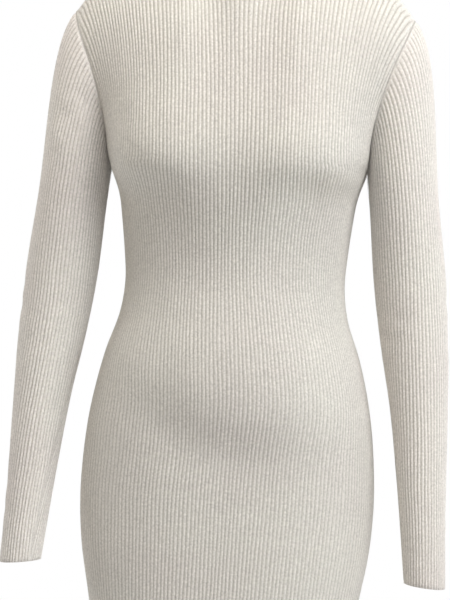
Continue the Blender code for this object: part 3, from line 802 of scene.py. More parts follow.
def armhole(hand):
    """The armhole's closed line, 0 at the shoulder and above 0 in front, and its inside."""
    lines = []
    for side in (-1, 1):
        points, inside = [], []
        for up in 1.0 - np.linspace(0.0, 1.0, ARMHOLE_POINTS) ** ARMHOLE_CROWDS:
            level = UNDERARM_Z + up * (SHOULDER_Z - UNDERARM_Z)
            edge = panel_row(side, level, np.array([float(hand)]))[0]
            point = edge - [0.0, side * 0.5 * SEAM_GAP, 0.0]
            points.append(point)
            inside.append(point - WALL * armhole_across(side, level, hand)[1])
        lines.append((np.array(points), np.array(inside)))
    (fore, fore_inside), (aft, aft_inside) = lines
    shares = np.concatenate([-line_shares(aft)[::-1], line_shares(fore)[1:]])
    outside = np.vstack([aft[::-1], fore[1:]])
    return (shares, outside), (shares, np.vstack([aft_inside[::-1], fore_inside[1:]]))


edge_line = armhole(1)[0][1]
print("armhole", round(1000 * np.linalg.norm(np.diff(edge_line, axis=0), axis=1).sum()), "mm round")

# %% The ovals of the arm and the bend of the cap
OVAL_POINTS = 240
CAP_START, CAP_END = 0.62, 0.98  # how strongly the bend keeps its way at the armhole and at the arm
CAP_SLOPE = 0.01  # height over which the arm's own way down is taken


def sleeve_ring(z, share, hand):
    """Points round the sleeve at height z, evenly spaced along its oval."""
    row = {name: smooth(SLEEVE, name, z) for name in SLEEVE_COLUMNS[1:-1]}
    turn = np.linspace(0.0, np.pi, OVAL_POINTS)
    length = run_along(row["half_width"] * np.cos(turn), row["half_depth"] * np.sin(turn))
    angle = np.interp(np.abs(share), length / length[-1], turn)
    x, y = row["half_width"] * np.cos(angle), -np.sign(share) * row["half_depth"] * np.sin(angle)
    below = max(0.0, (ELBOW_Z - z) / (ELBOW_Z - CUFF_Z))
    up = z + CUFF_LIFT[hand] * below + row["tilt"] * x
    return np.column_stack([hand * (row["x"] + x), row["y"] + y, up])


def cap_ring(loop, step, share, hand):
    """Points of the cap, from the armhole (step 0) to the first level of the sleeve (step 1)."""
    start, end = on_loop(loop, share), sleeve_ring(ARM_TOP, share, hand)
    reach = np.linalg.norm(end - start, axis=1)[:, None]
    down = unit(sleeve_ring(ARM_TOP - CAP_SLOPE, share, hand) - end)
    leave = cap_leave(start[:, 2], -np.sign(share), hand)
    bend = (step**3 - 2 * step**2 + step) * CAP_START * leave + (step**3 - step**2) * CAP_END * down
    return start + (3 * step**2 - 2 * step**3) * (end - start) + bend * reach


elbow = sleeve_ring(ELBOW_Z, np.array([0.0, 1.0]), 1)
inner, outer = np.round(elbow[1, 0], 3), np.round(elbow[0, 0], 3)
print("sleeve at the elbow from", inner, "to", outer, "across")

# %% A row of the sleeve: step 0 is the armhole, 1 the top of the arm, 2 the cuff
CUFF_STEP = 2.0
NEAR_STEP, NEAR_SHARE = 0.004, 0.008  # how far apart two places are for a slope
CAP_LENGTH, ARM_LENGTH = 0.17, 0.40  # for the count of rows of stitches
SEAM_TURN_START = 0.02  # how far above the elbow the seam starts to turn


def round_again(share):
    """A share of the way round, brought back to -1 to 1."""
    return (share + 1.0) % 2.0 - 1.0


def sleeve_level(step, hand):
    """The height of a step, its ribs on each side, its row of stitches and its seam's turn."""
    z = ARM_TOP + max(0.0, step - 1.0) * (CUFF_Z - ARM_TOP)
    ribs = float(np.interp(z, SLEEVE["z"], SLEEVE["ribs"]))
    course = -(CAP_LENGTH * min(step, 1.0) + ARM_LENGTH * max(step - 1.0, 0.0)) / COURSE
    turn_from = ELBOW_Z + SEAM_TURN_START
    return z, ribs, course, SEAM_TURNS[hand] * ease(turn_from - z, 0.0, turn_from - CUFF_Z)


def sleeve_row(loop, step, share, hand):
    """Points of the sleeve at these shares of half the way round, from its outer side."""
    if step < 1.0:
        return cap_ring(loop, step, share, hand)
    return sleeve_ring(ARM_TOP + (step - 1.0) * (CUFF_Z - ARM_TOP), share, hand)


def sleeve_directions(loop, step, share, hand):
    """The way across the sleeve's wall. The cuff is cut level."""
    low, high = min(step + NEAR_STEP, CUFF_STEP), max(step - NEAR_STEP, 0.0)
    fall = sleeve_row(loop, low, share, hand) - sleeve_row(loop, high, share, hand)
    after, before = (round_again(share + turn) for turn in (NEAR_SHARE, -NEAR_SHARE))
    run = sleeve_row(loop, step, after, hand) - sleeve_row(loop, step, before, hand)
    directions = np.cross(run, fall) * hand
    if step == CUFF_STEP:
        directions[:, 2] = 0.0
    return unit(directions)


for hand in (1, -1):
    turned = float(sleeve_level(CUFF_STEP, hand)[3])
    print("seam turned at the cuff by", turned, "of half the way round")

# %% Folds of the sleeves, in millimetres round the arm (0 outside, the front above 0) and up
LEFT_FOLDS = (
    (-30, -372, 34, -384, 9, -1.1),
    (-44, -398, 20, -404, 8, -0.9),
    (-20, -418, 46, -428, 9, -1.0),
    (60, -398, 104, -388, 8, -1.1),
    (66, -422, 106, -414, 7, -0.9),
    (26, -346, 70, -352, 11, -0.6),
    (-90, -392, -56, -402, 8, 0.9),
    (44, -250, 78, -272, 9, -0.7),
    (40, -226, 66, -244, 8, 0.6),
    (-60, -246, -86, -268, 9, -0.7),
    (-10, -604, 44, -610, 8, -0.6),
    (-36, -628, 14, -634, 7, -0.5),
    (14, -650, 52, -646, 7, -0.5),
)
RIGHT_FOLDS = (
    (-42, -366, 18, -374, 9, -1.0),
    (-24, -392, 40, -401, 8, -1.1),
    (-50, -420, 6, -424, 8, -0.9),
    (20, -438, 60, -432, 8, -0.8),
    (56, -386, 104, -398, 8, -1.1),
    (64, -412, 104, -420, 8, -0.9),
    (-96, -404, -62, -398, 8, 0.9),
    (52, -132, 74, -156, 5, -1.7),
    (58, -146, 80, -168, 4, 1.3),
    (50, -160, 76, -184, 5, -1.6),
    (34, -178, 66, -206, 6, -1.3),
    (28, -198, 60, -230, 6, 0.9),
    (40, -232, 76, -262, 8, -1.0),
    (-58, -236, -88, -262, 9, -0.8),
    (-30, -586, 24, -592, 8, -0.6),
    (-8, -616, 46, -622, 7, -0.6),
    (-44, -640, 10, -643, 7, -0.5),
)

print(len(LEFT_FOLDS) + len(RIGHT_FOLDS), "folds on the sleeves")

# %% One row of a sleeve with its folds
CAP_CALM_RIBS, CAP_CALM, CAP_FOLDS_CALM = 4.0, 0.3, 0.25  # near the sleeve seam and the armhole


def sleeve_points(loop, step, wales, hand, marks):
    """Points of a sleeve's row with its folds, and the way across the wall."""
    z, ribs, course, twist = sleeve_level(step, hand)
    free = ease(ribs - np.abs(wales), 0.0, CAP_CALM_RIBS) * ease(step, 0.0, CAP_CALM)
    share = round_again((wales + wander(wales, course, 2.0 * hand) * free) / ribs - twist)
    if twist == 0.0:
        share = np.where(np.abs(wales) == ribs, np.sign(wales), share)
    points = sleeve_row(loop, step, share, hand)
    across = sleeve_directions(loop, step, share, hand)
    half = smooth(SLEEVE, "half_width", z) + smooth(SLEEVE, "half_depth", z)
    half = 1000.0 * math.pi * 0.5 * half
    depth = folds(half * share, 1000.0 * points[:, 2], marks, 2.0 * half)
    depth = depth * ease(step, 0.0, CAP_FOLDS_CALM) * ease(z, CUFF_Z, CUFF_Z + HEM_CALM)
    return points + across * (MM * depth)[:, None], across


cuff_row, _ = sleeve_points(armhole(1)[0], CUFF_STEP, np.array([0.0]), 1, LEFT_FOLDS)
print("outer side of the left cuff at", np.round(cuff_row[0], 3))

# %% The two sleeves
CAP_ROWS, ARM_ROWS = 46, 92
CAP_CROWDS = 1.15  # how much closer together the rows are near the armhole
CAP_RIBS_RISE = (0.001, 0.006)  # distance from the armhole over which the ribs rise
LEAN = math.atan2(SHOULDER_X - UNDERARM_X, SHOULDER_Z - UNDERARM_Z)  # of the armhole's plane


def make_sleeve(name, hand, marks):
    """A sleeve from its armhole to the cuff, as one closed tube wall."""
    apart = SEAM_GAP * np.array([hand * math.cos(LEAN), 0.0, -math.sin(LEAN)])
    loop, inside = armhole(hand)
    shell = Shell(ring=True)
    cap = np.linspace(0.0, 1.0, CAP_ROWS + 1) ** CAP_CROWDS
    steps = [*cap[:-1], *(1.0 + np.linspace(0.0, 1.0, ARM_ROWS + 1))]
    outer, inner = [], []
    for i, step in enumerate(steps):
        _, ribs, course, _ = sleeve_level(step, hand)
        cuff, edge = step == CUFF_STEP, i in (0, len(steps) - 1)
        wales = counted(ribs, RIB_POINTS)
        points, across = sleeve_points(loop, step, wales, hand, marks)
        away = np.linalg.norm(points - on_loop(loop, np.clip(wales / ribs, -1.0, 1.0)), axis=1)
        strength = clear_of_underarm(points) * ease(away, *CAP_RIBS_RISE)
        strength = strength * ease(ribs - np.abs(wales), 0.0, RIB_STARTS)
        lift = [0.0, 0.0, EDGE_ROUND] if cuff else [0.0, 0.0, 0.0]
        outer.append(shell.row(points + apart + lift, across, strength, wales, course))
        if i % INSIDE_EVERY == 0 or edge:
            plain = counted(ribs, INSIDE_POINTS)
            points, across = sleeve_points(loop, step, plain, hand, marks)
            within = points - WALL * across
            if i == 0:
                within = on_loop(inside, np.clip(plain / ribs, -1.0, 1.0))
            inner.append(shell.row(within + apart + lift, across, 0.0, plain, course))
        if cuff:
            plain = counted(ribs, RIM_POINTS)
            points, across = sleeve_points(loop, step, plain, hand, marks)
            middle = points - RIM_IN * WALL * across + apart
            rim = shell.row(middle, across, 0.0, plain, course)
    shell.fill(outer)
    shell.fill(inner)
    shell.stitch(outer[-1], rim)
    shell.stitch(rim, inner[-1])
    shell.stitch(outer[0], inner[0])
    return shell.make(name)


sleeve_left = make_sleeve("left_sleeve", 1, LEFT_FOLDS)
sleeve_right = make_sleeve("right_sleeve", -1, RIGHT_FOLDS)

# %% [markdown]
# ## Collar
#
# The stand collar is a short ring of the same rib. It is sewn to the neckline, draws in quickly
# above the seam and stands almost straight after it, higher behind than in front. It could be
# extruded from the neckline, but its ribs are fewer than the ones that it meets, so it is built
# as a ring of its own.

# %% The closed line of the neckline
NECK_PARTS = 4  # points for each rib along it


def neckline():
    """The neckline's closed line through the panels' edges, and the collar's inside along it."""
    found = []
    for depth in (0.0, WALL):
        lines = []
        for side in (-1, 1):
            wales = np.arange(-NECK_RIBS * NECK_PARTS, NECK_RIBS * NECK_PARTS + 1) / NECK_PARTS
            share = wales / SHOULDER_RIBS
            across = wall_across(side, SHOULDER_Z, np.concatenate([[-1.0], share, [1.0]]))[1:-1]
            lines.append(panel_row(side, SHOULDER_Z, share) - depth * across)
        fore, aft = lines
        middle = len(aft) // 2
        ring = np.vstack([aft[middle::-1], fore[1:-1], aft[: middle - 1 : -1]])
        found.append((2.0 * line_shares(ring) - 1.0, ring))
    return found


neck_line = neckline()[0][1]
neck_length = np.linalg.norm(np.diff(neck_line, axis=0), axis=1).sum()
print("neckline", round(1000 * neck_length), "mm round")

# %% The stand collar
COLLAR_RIBS = 34  # on each side of the middle of the front
COLLAR_HALF_WIDTH, COLLAR_HALF_DEPTH, COLLAR_CENTRE_Y = 0.0535, 0.0560, -0.002
COLLAR_TOP = (0.036, 0.044)  # height of its top edge in front and behind
COLLAR_DRAWS_IN = (  # share of its height, and share of the way in
    (0.0, 0.06, 0.13, 0.25, 0.5, 1.0),
    (0.0, 0.19, 0.34, 0.46, 0.645, 1.0),
)
COLLAR_LENGTH = 0.05  # for the count of rows of stitches
COLLAR_STEPS = 15
COLLAR_CALM, COLLAR_RIBS_RISE = 0.3, 0.12  # shares of its height


def collar_ring(loop, height, share):
    """Points and outward directions of the collar at this share of its height."""
    turn = np.pi * share
    away = np.column_stack([np.sin(turn), -np.cos(turn), np.zeros(len(turn))])
    edge = away * [COLLAR_HALF_WIDTH, COLLAR_HALF_DEPTH, 0.0] + [0.0, COLLAR_CENTRE_Y, 0.0]
    edge[:, 2] = np.interp(away[:, 1], (-1.0, 1.0), COLLAR_TOP)
    seam, narrowing = on_loop(loop, share), float(np.interp(height, *COLLAR_DRAWS_IN))
    return seam + (edge - seam) * [narrowing, narrowing, height], away


def make_collar(name):
    """The collar from the neckline to its top edge, as one closed ring wall."""
    apart = np.array([0.0, 0.0, SEAM_GAP / NECK_ACROSS[0]])
    loop, inside = neckline()
    shell = Shell(ring=True)
    outer, inner = [], []
    wales, plain, rim_wales = (
        counted(COLLAR_RIBS, points) for points in (RIB_POINTS, INSIDE_POINTS, RIM_POINTS)
    )
    for i, height in enumerate(np.linspace(0.0, 1.0, COLLAR_STEPS + 1)):
        course = COLLAR_LENGTH * height / COURSE
        lower = [0.0, 0.0, -EDGE_ROUND if i == COLLAR_STEPS else 0.0]
        moved = wales + wander(wales, course, 4.0) * ease(height, 0.0, COLLAR_CALM)
        points, across = collar_ring(loop, height, moved / COLLAR_RIBS)
        strength = ease(height, 0.0, COLLAR_RIBS_RISE)
        outer.append(shell.row(points + apart + lower, across, strength, wales, course))
        points, across = collar_ring(loop, height, plain / COLLAR_RIBS)
        within = on_loop(inside, plain / COLLAR_RIBS) if i == 0 else points - WALL * across
        inner.append(shell.row(within + apart + lower, across, 0.0, plain, course))
    points, across = collar_ring(loop, 1.0, rim_wales / COLLAR_RIBS)
    middle = points - RIM_IN * WALL * across + apart
    rim = shell.row(middle, across, 0.0, rim_wales, COLLAR_LENGTH / COURSE)
    shell.fill(outer)
    shell.fill(inner)
    shell.stitch(outer[-1], rim)
    shell.stitch(rim, inner[-1])
    shell.stitch(outer[0], inner[0])
    return shell.make(name)


collar = make_collar("stand_collar")

# %% [markdown]
# ## Helpers for node trees
#
# Materials and Geometry Nodes are both trees of small boxes with sockets. In the editor they are
# added from a menu and joined by dragging. Written out, each box would take many lines, so one
# helper adds any node with its values and links, a second one writes sums as they are read, and a
# third one starts a material.

# %% Helpers for node trees
def add(tree, kind, settings=(), **inputs):
    """Adds a node and fills its sockets: another node's socket is linked, the rest are values."""
    made = tree.nodes.new(kind)
    for name, value in dict(settings).items():
        setattr(made, name, value)
    for key, value in inputs.items():
        place = int(key[1:]) if key[1:].isdigit() else key.replace("_", " ")
        socket = made.inputs[place]
        if isinstance(value, bpy.types.NodeSocket):
            tree.links.new(value, socket)
        else:
            socket.default_value = value
    return made


def maths(tree, what, *values):
    """One sum in a tree, from values and sockets."""
    numbered = {f"_{i}": value for i, value in enumerate(values)}
    return add(tree, "ShaderNodeMath", {"operation": what}, **numbered).outputs[0]


def paint(name):
    """A new material, its tree and its shader."""
    made = bpy.data.materials.new(name)
    made.use_nodes = True
    return made, made.node_tree, made.node_tree.nodes["Principled BSDF"]


print("three helpers for trees and materials are ready")

# %% [markdown]
# ## The finish of the knit
#
# The yarn is a matt cream with a little fuzz. Each rib shows two columns of small V-shaped
# stitches. They are far finer than the ribs, so they are colour and bump in the material, drawn
# on the count of ribs and rows that the shells carry. Modelled loops would cost millions of
# faces. The valleys are a shade darker and warmer, because less light comes back out of them, and
# over the whole piece the colour drifts a little, as yarn from several cones does. The sleeves
# are painted paler than the body: painted light that stands in for the extra light on them.

# %% Yarn
YARN = (0.762, 0.745, 0.709)
# The sleeves are painted paler than the body: painted light, standing in for the extra light on the
# sleeves.
YARN_LEFT_PAINTED_LIGHT = (0.818, 0.790, 0.757)
YARN_RIGHT_PAINTED_LIGHT = (0.855, 0.829, 0.803)
VALLEY_SHADE = (0.56, 0.53, 0.50)  # what a valley leaves of the yarn's colour
WARM, COOL = (1.02, 0.99, 1.0), (0.98, 1.01, 0.98)  # between these the colour drifts
NOISES = {  # scale, detail, roughness and strength
    "fibre": (1400.0, 3.0, 0.6, 0.10),
    "uneven": (160.0, 2.0, 0.5, 0.10),
    "fluff": (480.0, 2.0, 0.6, 0.70),
}
DRIFT = (2.0, 0.5, 0.14)  # detail, roughness and strength of the slow change over a piece
print("finest fibre", round(1000.0 / NOISES["fibre"][0], 2), "mm across")

# %% The pattern of a stitch
STITCH_SLANT, STITCH_LEGS = 1.5, 7.0  # how steep the V is, and how sharp its middle


def stitch_pattern(tree, wale, course):
    """1 on the back of a loop and 0 between loops, with two columns of loops in each rib."""
    column = maths(tree, "SUBTRACT", maths(tree, "FRACT", maths(tree, "MULTIPLY", wale, 2.0)), 0.5)
    away = maths(tree, "ABSOLUTE", column)
    slanted = maths(tree, "ADD", course, maths(tree, "MULTIPLY", away, STITCH_SLANT))
    loop = maths(tree, "FRACT", slanted)
    stitch = maths(tree, "SINE", maths(tree, "MULTIPLY", loop, math.pi))
    legs = maths(tree, "MINIMUM", maths(tree, "MULTIPLY", away, STITCH_LEGS), 1.0)
    return maths(tree, "MULTIPLY", stitch, legs)


def rib_arch(tree, wale):
    """1 along the middle of a rib and 0 in the valleys beside it."""
    return maths(tree, "ABSOLUTE", maths(tree, "SINE", maths(tree, "MULTIPLY", wale, math.pi)))


def noise(tree, spot, scale, detail, roughness):
    """A soft random pattern of this fineness."""
    made = add(
        tree, "ShaderNodeTexNoise", Vector=spot, Scale=scale, Detail=detail, Roughness=roughness
    )
    return made.outputs[0]


def drifting(tree, shade, pattern, strength):
    """The shade, made lighter and darker by a pattern."""
    change = maths(tree, "MULTIPLY", maths(tree, "SUBTRACT", pattern, 0.5), strength)
    return maths(tree, "ADD", shade, change)


print("a loop is", round(500.0 * float(smooth(TORSO, "pitch", HEM_Z)), 2), "mm wide at the hem")

# %% The knit material
SHADE, STITCH_SHADE = 0.90, 0.07  # of the yarn between loops, and what a loop adds
ROUGH, ROUGH_FIBRE = 0.86, 0.12
STITCH_HEIGHT, FIBRE_HEIGHT = 0.7, 0.45  # shares of the bump
BUMP_STRENGTH, BUMP_DISTANCE = 0.55, 0.0004


def yarn_colour(tree, yarn, cloudy, shade, valley):
    """The yarn, drifting between warm and cool, with its shade and its darker valleys."""
    tint = add(tree, "ShaderNodeMix", {"data_type": "RGBA"}, _0=cloudy)
    for socket, cast in ((6, WARM), (7, COOL)):
        tint.inputs[socket].default_value = (*(part * by for part, by in zip(yarn, cast)), 1.0)
    lit = add(
        tree, "ShaderNodeVectorMath", {"operation": "SCALE"}, Vector=tint.outputs[2], Scale=shade
    ).outputs[0]
    deep = add(
        tree, "ShaderNodeVectorMath", {"operation": "MULTIPLY"}, _0=lit, _1=VALLEY_SHADE
    ).outputs[0]
    mixed = add(tree, "ShaderNodeMix", {"data_type": "RGBA"}, _0=valley, _6=lit, _7=deep)
    return mixed.outputs[2]


def knit_material(name, yarn, drift):
    """Rib knit in this yarn. drift is how quickly its colour changes over the piece."""
    made, tree, shader = paint(name)
    place = add(tree, "ShaderNodeUVMap", {"uv_map": "knit"})
    wale, course, _ = add(tree, "ShaderNodeSeparateXYZ", Vector=place.outputs[0]).outputs
    rib = add(tree, "ShaderNodeAttribute", {"attribute_name": "rib"}).outputs["Fac"]
    spot = add(tree, "ShaderNodeTexCoord").outputs["Object"]
    valley = maths(tree, "POWER", maths(tree, "SUBTRACT", 1.0, rib_arch(tree, wale)), 2.0)
    valley = maths(tree, "MULTIPLY", valley, rib)
    stitch = stitch_pattern(tree, wale, course)
    shade = maths(tree, "ADD", SHADE, maths(tree, "MULTIPLY", stitch, STITCH_SHADE))
    patterns = {}
    for key, (scale, detail, roughness, strength) in NOISES.items():
        patterns[key] = noise(tree, spot, scale, detail, roughness)
        shade = drifting(tree, shade, patterns[key], strength)
    cloudy = noise(tree, spot, drift, *DRIFT[:2])
    shade = drifting(tree, shade, cloudy, DRIFT[2])
    tree.links.new(yarn_colour(tree, yarn, cloudy, shade, valley), shader.inputs["Base Color"])
    fibre = patterns["fibre"]
    rough = maths(tree, "ADD", ROUGH, maths(tree, "MULTIPLY", fibre, ROUGH_FIBRE))
    tree.links.new(rough, shader.inputs["Roughness"])
    shader.inputs["Specular IOR Level"].default_value = 0.25
    shader.inputs["Sheen Weight"].default_value = 0.25
    shader.inputs["Sheen Roughness"].default_value = 0.45
    fine = maths(tree, "MULTIPLY", fibre, FIBRE_HEIGHT)
    height = maths(tree, "ADD", maths(tree, "MULTIPLY", stitch, STITCH_HEIGHT), fine)
    bump = add(
        tree, "ShaderNodeBump", Strength=BUMP_STRENGTH, Distance=BUMP_DISTANCE, Height=height
    )
    tree.links.new(bump.outputs[0], shader.inputs["Normal"])
    return made


FRONT_KNIT = knit_material("front_knit_yarn", YARN, 7.0)
BACK_KNIT = knit_material("back_knit_yarn", YARN, 6.0)
# The two sleeve knits carry painted light in their paler colour.
LEFT_KNIT = knit_material("left_sleeve_knit_painted_light", YARN_LEFT_PAINTED_LIGHT, 9.0)
RIGHT_KNIT = knit_material("right_sleeve_knit_painted_light", YARN_RIGHT_PAINTED_LIGHT, 8.0)
COLLAR_KNIT = knit_material("collar_knit_yarn", YARN, 11.0)
print("each knit has", len(FRONT_KNIT.node_tree.nodes), "nodes")

# %% [markdown]
# ## Ribs, with Geometry Nodes
#
# Rib knit has columns of stitches that stand forward, with narrow valleys between them. One tree
# raises them on all five pieces: it reads from each point which rib it lies on, turns that into a
# rounded profile, and moves the point out across the wall. Height and roundness are inputs, so a
# heavier gauge is one change. Displacement in the material could do it at render time, but then
# the mesh that leaves Blender would be smooth.

# %% The rib tree
RIB_HEIGHT = 0.0010
RIB_ROUNDNESS = 0.75  # below 1 the top of a rib is flatter
RIB_UNEVENNESS, UNEVEN_SCALE = 0.3, 55.0


def tree_socket(tree, name, kind, value=None, direction="INPUT"):
    """Adds a named input or output to a tree."""
    made = tree.interface.new_socket(name=name, in_out=direction, socket_type=kind)
    if value is not None:
        made.default_value = value
    return made


def carried(tree, kind, name):
    """A value that each point of the mesh carries."""
    made = add(tree, "GeometryNodeInputNamedAttribute", {"data_type": kind}, Name=name)
    return made.outputs["Attribute"]


def finished(tree, shape, material, out):
    """Ends a tree: makes every instance real and gives the shape its material."""
    real = add(tree, "GeometryNodeRealizeInstances", Geometry=shape)
    painted = add(tree, "GeometryNodeSetMaterial", Geometry=real.outputs[0], Material=material)
    tree.links.new(painted.outputs[0], out.inputs[0])


def rib_tree():
    """Raises the ribs of a shell from its wale, rib and across attributes."""
    tree = bpy.data.node_groups.new("raise_ribs", "GeometryNodeTree")
    tree_socket(tree, "Geometry", "NodeSocketGeometry")
    tree_socket(tree, "Rib Height", "NodeSocketFloat", RIB_HEIGHT)
    tree_socket(tree, "Roundness", "NodeSocketFloat", RIB_ROUNDNESS)
    tree_socket(tree, "Unevenness", "NodeSocketFloat", RIB_UNEVENNESS)
    tree_socket(tree, "Seed", "NodeSocketFloat", 0.0)
    tree_socket(tree, "Yarn", "NodeSocketMaterial")
    tree_socket(tree, "Geometry", "NodeSocketGeometry", direction="OUTPUT")
    given, out = tree.nodes.new("NodeGroupInput"), tree.nodes.new("NodeGroupOutput")
    wale, rib = (carried(tree, "FLOAT", name) for name in ("wale", "rib"))
    across = carried(tree, "FLOAT_VECTOR", "across")
    profile = maths(tree, "POWER", rib_arch(tree, wale), given.outputs["Roundness"])
    slow = add(
        tree,
        "ShaderNodeTexNoise",
        {"noise_dimensions": "4D"},
        W=given.outputs["Seed"],
        Scale=UNEVEN_SCALE,
        Detail=2.0,
    )
    uneven = maths(tree, "SUBTRACT", slow.outputs[0], 0.5)
    uneven = maths(tree, "MULTIPLY", uneven, given.outputs["Unevenness"])
    height = maths(tree, "MULTIPLY", maths(tree, "ADD", uneven, 1.0), given.outputs["Rib Height"])
    height = maths(tree, "MULTIPLY", maths(tree, "MULTIPLY", profile, rib), height)
    way = add(tree, "ShaderNodeVectorMath", {"operation": "SCALE"}, Vector=across, Scale=height)
    shape = given.outputs["Geometry"]
    moved = add(tree, "GeometryNodeSetPosition", Geometry=shape, Offset=way.outputs[0])
    finished(tree, moved.outputs[0], given.outputs["Yarn"], out)
    return tree


RIB_TREE = rib_tree()
print("the rib tree has", len(RIB_TREE.nodes), "nodes")

# %% Ribs on all five pieces
def grown(piece, tree, values):
    """Runs a tree on a piece with these inputs, and keeps the result as the piece's plain mesh."""
    modifier = piece.modifiers.new(tree.name, "NODES")
    modifier.node_group = tree
    for item in tree.interface.items_tree:
        if item.item_type == "SOCKET" and item.in_out == "INPUT" and item.name in values:
            modifier[item.identifier] = values[item.name]
    ready = piece.evaluated_get(bpy.context.evaluated_depsgraph_get())
    mesh = bpy.data.meshes.new_from_object(ready)
    mesh.name = piece.name
    piece.modifiers.remove(modifier)
    piece.data = mesh
    print(piece.name, len(mesh.polygons), "faces after", tree.name)
    return piece


PIECES_AND_YARN = (
    (front, FRONT_KNIT),
    (back, BACK_KNIT),
    (sleeve_left, LEFT_KNIT),
    (sleeve_right, RIGHT_KNIT),
    (collar, COLLAR_KNIT),
)
for seed, (piece, yarn) in enumerate(PIECES_AND_YARN):
    grown(piece, RIB_TREE, {"Seed": float(seed), "Yarn": yarn})

# %% [markdown]
# ## Linking stitches
#
# The pieces are joined by linking: a thread in the same yarn is worked through the last loops of
# both edges, and shows as a row of small bars across the seam. A second tree follows each seam
# line, sets a bar at each stitch, turns it across the seam and makes the result real. Drawing the
# bars as a texture would lose them at the edge of the dress, where a seam is seen from the side.

# %% Seams of the body: each as points, the way out of the cloth, and the way across the seam
ARMHOLE_SEAM_POINTS, SHOULDER_SEAM_POINTS, SIDE_SEAM_POINTS, SLEEVE_SEAM_POINTS = 60, 40, 130, 110
SIDE_SEAM = (HEM_Z + 0.002, UNDERARM_Z - 0.004)  # just above the hem to just below the armhole


def across_seam(points, out):
    """The way across a seam, from its points and the way out of the cloth."""
    return unit(np.cross(unit(np.gradient(points, axis=0)), out))


def straight_seam(points, out):
    """A seam that faces one way all along and is crossed from front to back."""
    return points, np.tile(out, (len(points), 1)), np.tile([0.0, 1.0, 0.0], (len(points), 1))


def armhole_seam(hand, side):
    """Half an armhole, in front (side -1) or behind (1)."""
    up = 1.0 - (1.0 - np.linspace(0.0, 1.0, ARMHOLE_SEAM_POINTS)) ** ARMHOLE_CROWDS
    levels = UNDERARM_Z + up * (SHOULDER_Z - UNDERARM_Z)
    points = np.array([panel_row(side, level, np.array([float(hand)]))[0] for level in levels])
    out = unit(np.array([armhole_across(side, level, hand)[0] for level in levels]))
    return points, out, across_seam(points, out)


def shoulder_seam(hand):
    shares = np.linspace(NECK_RIBS / SHOULDER_RIBS, 1.0, SHOULDER_SEAM_POINTS) * hand
    points = panel_row(-1, SHOULDER_Z, shares)
    points[:, 1] = SHOULDER_Y
    return straight_seam(points, [0.0, 0.0, 1.0])


def side_seam(hand):
    levels = np.linspace(*SIDE_SEAM, SIDE_SEAM_POINTS)
    points = np.array([panel_row(-1, level, np.array([float(hand)]))[0] for level in levels])
    points[:, 1] += 0.5 * SEAM_GAP
    return straight_seam(points, [float(hand), 0.0, 0.0])


print("side seam", round(1000 * (SIDE_SEAM[1] - SIDE_SEAM[0])), "mm high")

# %% Seams of the sleeves and the collar
SLEEVE_SEAM_START = 0.06  # share of the cap's length


def sleeve_seam(hand):
    """The seam under the arm, from the armhole to the cuff."""
    loop = armhole(hand)[0]
    points, out = [], []
    for step in np.linspace(SLEEVE_SEAM_START, CUFF_STEP, SLEEVE_SEAM_POINTS)[:-1]:
        share = round_again(np.array([1.0 - sleeve_level(step, hand)[3] - 1e-6]))
        points.append(sleeve_row(loop, step, share, hand)[0])
        out.append(sleeve_directions(loop, step, share, hand)[0])
    points, out = np.array(points), np.array(out)
    return points, out, across_seam(points, out)


def neck_seam():
    points = neckline()[0][1]
    level = unit(points * [1.0, 1.0, 0.0] - [0.0, SHOULDER_Y, 0.0])
    out = level * NECK_ACROSS[0] + [0.0, 0.0, NECK_ACROSS[1]]
    return points, unit(out), across_seam(points, out)


def seam_lines():
    """All seams of the dress."""
    found = []
    for hand in (-1, 1):
        found.extend([armhole_seam(hand, -1), shoulder_seam(hand), armhole_seam(hand, 1)])
        found.extend([side_seam(hand), sleeve_seam(hand)])
    return [*found, neck_seam()]


lengths = [np.linalg.norm(np.diff(seam[0], axis=0), axis=1).sum() for seam in seam_lines()]
print(len(lengths), "seam lines,", round(sum(lengths), 2), "m in all")

# %% All seam lines as one mesh
SEAM_LIFT = 0.0001  # how far the thread lies above the cloth


def make_seams(name):
    """One mesh of edges that carries the directions of its seams."""
    points, out, over, edges = [], [], [], []
    for line_points, line_out, line_over in seam_lines():
        first = len(points)
        points.extend((line_points + line_out * SEAM_LIFT).tolist())
        out.extend(line_out.tolist())
        over.extend(line_over.tolist())
        edges.extend((i, i + 1) for i in range(first, len(points) - 1))
    mesh = bpy.data.meshes.new(name)
    mesh.from_pydata(points, edges, [])
    for key, values in (("out", out), ("over", over)):
        flat = np.array(values, np.float32).ravel()
        mesh.attributes.new(key, "FLOAT_VECTOR", "POINT").data.foreach_set("vector", flat)
    made = bpy.data.objects.new(name, mesh)
    bpy.context.scene.collection.objects.link(made)
    return made


seams = make_seams("linking_stitches")
print(seams.name, "follow", len(seams.data.edges), "edges")

# %% The stitch tree
STITCH_SPACING, STITCH_WIDTH = 0.0021, 0.0024
THREAD = 0.00028  # half its thickness
STITCH_SEED = 3
BAR_SLANT, BAR_BOW = 0.45, 3.4  # times the spacing, and times the thread
BAR_SIZES = (0.88, 1.08)  # each bar gets a random size between these


